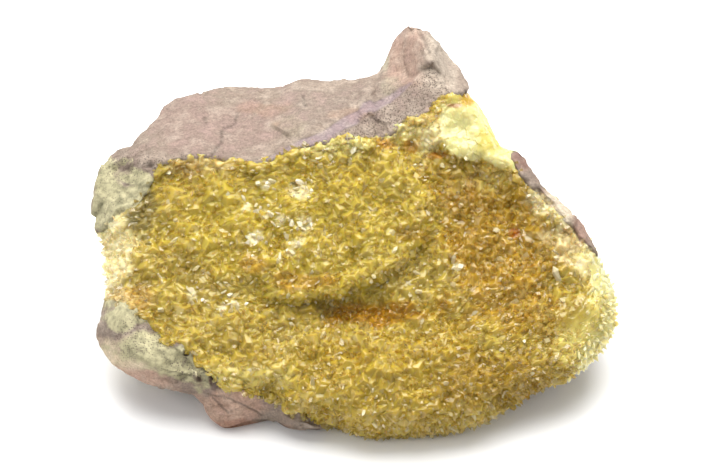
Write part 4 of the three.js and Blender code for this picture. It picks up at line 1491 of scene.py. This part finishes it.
class SPECIMEN_OT_druse(bpy.types.Operator):
    """Thousands of calcite points that cover the crystalline mass, the small between the large"""

    bl_idname = "specimen.druse"
    bl_label = "Calcite Points"

    def execute(self, context):
        sizes = context.scene.specimen_sizes
        material = crystal_material(context.scene.specimen_tones, sizes)
        points, u, v, growth = sites(-0.5, 0.2)
        wanted = growth * (1 - massive_share(u, v))
        taken = NOWHERE
        for name, share, seed in POINT_LAYERS:
            rng = np.random.default_rng(seed)
            gap = share * sizes.crystal_spacing / MM
            place, normal = packed(points, wanted, gap, taken, POINTS_TRIED, rng)
            taken = np.concatenate([taken, place])
            corners = druse_points(place, normal, share, sizes, rng)
            u, v, _ = to_display(place)
            tone, powder = druse_colours(u, v, rng)
            for side, chosen in (("left", u < 0), ("right", u >= 0)):
                piece = points_object(f"{name}_{side}", corners[chosen],
                                      {"tone": tone[chosen], "powder": powder[chosen]})
                seated(piece, "calcite_crust", material)
        return {"FINISHED"}


class SPECIMEN_OT_fan(bpy.types.Operator):
    """The broken rim of blades that fan out round the ball"""

    bl_idname = "specimen.fan"
    bl_label = "Fanned Rim"

    def execute(self, context):
        points, u, v, growth = sites(-0.6, 0.4)
        wanted = growth * in_region(u, v, RIM_REGION) * (1 - in_ball(u, v))
        rng = np.random.default_rng(8)
        place, normal = packed(points, wanted, BLADE_SPACING, NOWHERE, BLADES_TRIED, rng)
        count = len(place)
        ball = to_world(*BALL[:2], crust_height(*np.array(BALL[:2])) - BALL_DEPTH)
        raised, astray = BLADE_LEANS
        axis = unit(unit(place - ball) + raised * normal + astray * rng.normal(size=(count, 3)))
        length = rng.uniform(*BLADE_LENGTHS, count)
        width = rng.uniform(*BLADE_WIDTHS, count)
        root = place - axis * BLADE_SUNK * length[:, None] - normal * 0.3
        corners = calcite_points(root, axis, length, width, rng, BLADE_FLATNESS)
        u, v, _ = to_display(place)
        tone = ledge_tone(u, v) * (1 + BLADE_TONES * rng.normal(size=(count, 1)))
        piece = points_object("fanned_rim", corners, {"tone": np.clip(tone, 0, 1)})
        seated(piece, "calcite_crust",
               massive_material("Calcite_cleaved_pale", 0.8, 0.3))
        return {"FINISHED"}


class SPECIMEN_OT_stage(bpy.types.Operator):
    """A pale floor, soft studio light and the camera"""

    bl_idname = "specimen.stage"
    bl_label = "Stage"

    def execute(self, context):
        scene = context.scene
        floor_material, tree, output = blank_material("Paper_white_matt")
        shader = add(tree, "ShaderNodeBsdfPrincipled", {
            "Base Color": colour("F8F8F8"), "Roughness": 0.9, "Specular IOR Level": 0.1})
        tree.links.new(shader.outputs["BSDF"], output.inputs["Surface"])
        corners = FLOOR_REACH * np.array([[-1, -1, 0], [1, -1, 0], [1, 1, 0], [-1, 1, 0]])
        floor = mesh_object("stage_floor", corners, np.array([[0, 1, 2, 3]]), False, {})
        floor.data.materials.append(floor_material)

        world = bpy.data.worlds.new("studio")
        world.use_nodes = True
        background = world.node_tree.nodes["Background"].inputs
        background["Color"].default_value = (1.0, 1.0, 1.0, 1.0)
        background["Strength"].default_value = WALL_LIGHT
        scene.world = world
        for name, place, side, power in SOFTBOXES:
            light = bpy.data.lights.new(name, "AREA")
            light.size = side
            light.energy = power
            lamp = bpy.data.objects.new(name, light)
            lamp.location = place
            aim = (Vector(SPECIMEN_MIDDLE) - Vector(place)).to_track_quat("-Z", "Y")
            lamp.rotation_euler = aim.to_euler()
            scene.collection.objects.link(lamp)

        sin, cos = np.sin(DISPLAY_ELEVATION), np.cos(DISPLAY_ELEVATION)
        camera = bpy.data.objects.new("camera", bpy.data.cameras.new("camera"))
        camera.data.lens = LENS
        camera.data.sensor_width = FILM
        camera.data.clip_end = 100
        x, y, z = to_world(*VIEW_CENTRE, VIEW_WIDTH * LENS / FILM) * MM
        camera.matrix_world = Matrix((
            (1, 0, 0, x), (0, sin, -cos, y), (0, cos, sin, z), (0, 0, 0, 1)))
        scene.collection.objects.link(camera)
        scene.camera = camera
        scene.view_settings.view_transform = "Standard"
        scene.cycles.max_bounces = 24
        scene.cycles.diffuse_bounces = 8
        scene.cycles.glossy_bounces = 12
        scene.cycles.transmission_bounces = 16
        scene.cycles.use_denoising = True
        return {"FINISHED"}


class SPECIMEN_PT_panel(bpy.types.Panel):
    """Lists the specimen's sizes, colours and pieces"""

    bl_idname = "SPECIMEN_PT_panel"
    bl_label = "Calcite Specimen"
    bl_space_type = "VIEW_3D"
    bl_region_type = "UI"
    bl_category = "Specimen"

    def draw(self, context):
        for group in (context.scene.specimen_sizes, context.scene.specimen_tones):
            for key in group.__annotations__:
                self.layout.prop(group, key)
        for operator in OPERATORS:
            self.layout.operator(operator.bl_idname)


OPERATORS = (SPECIMEN_OT_rock, SPECIMEN_OT_bed, SPECIMEN_OT_druse, SPECIMEN_OT_fan,
             SPECIMEN_OT_stage)
CLASSES = (SpecimenSizes, SpecimenTones, *OPERATORS, SPECIMEN_PT_panel)


def register():
    """Registers the classes and hangs the two property groups on the scene."""
    for one in CLASSES:
        bpy.utils.register_class(one)
    bpy.types.Scene.specimen_sizes = bpy.props.PointerProperty(type=SpecimenSizes)
    bpy.types.Scene.specimen_tones = bpy.props.PointerProperty(type=SpecimenTones)


def unregister():
    """Takes them off again, in the opposite order."""
    del bpy.types.Scene.specimen_tones
    del bpy.types.Scene.specimen_sizes
    for one in reversed(CLASSES):
        bpy.utils.unregister_class(one)


def main():
    """Makes every piece in order."""
    register()
    bpy.ops.specimen.rock()
    bpy.ops.specimen.bed()
    bpy.ops.specimen.druse()
    bpy.ops.specimen.fan()
    bpy.ops.specimen.stage()


if __name__ == "__main__":
    main()
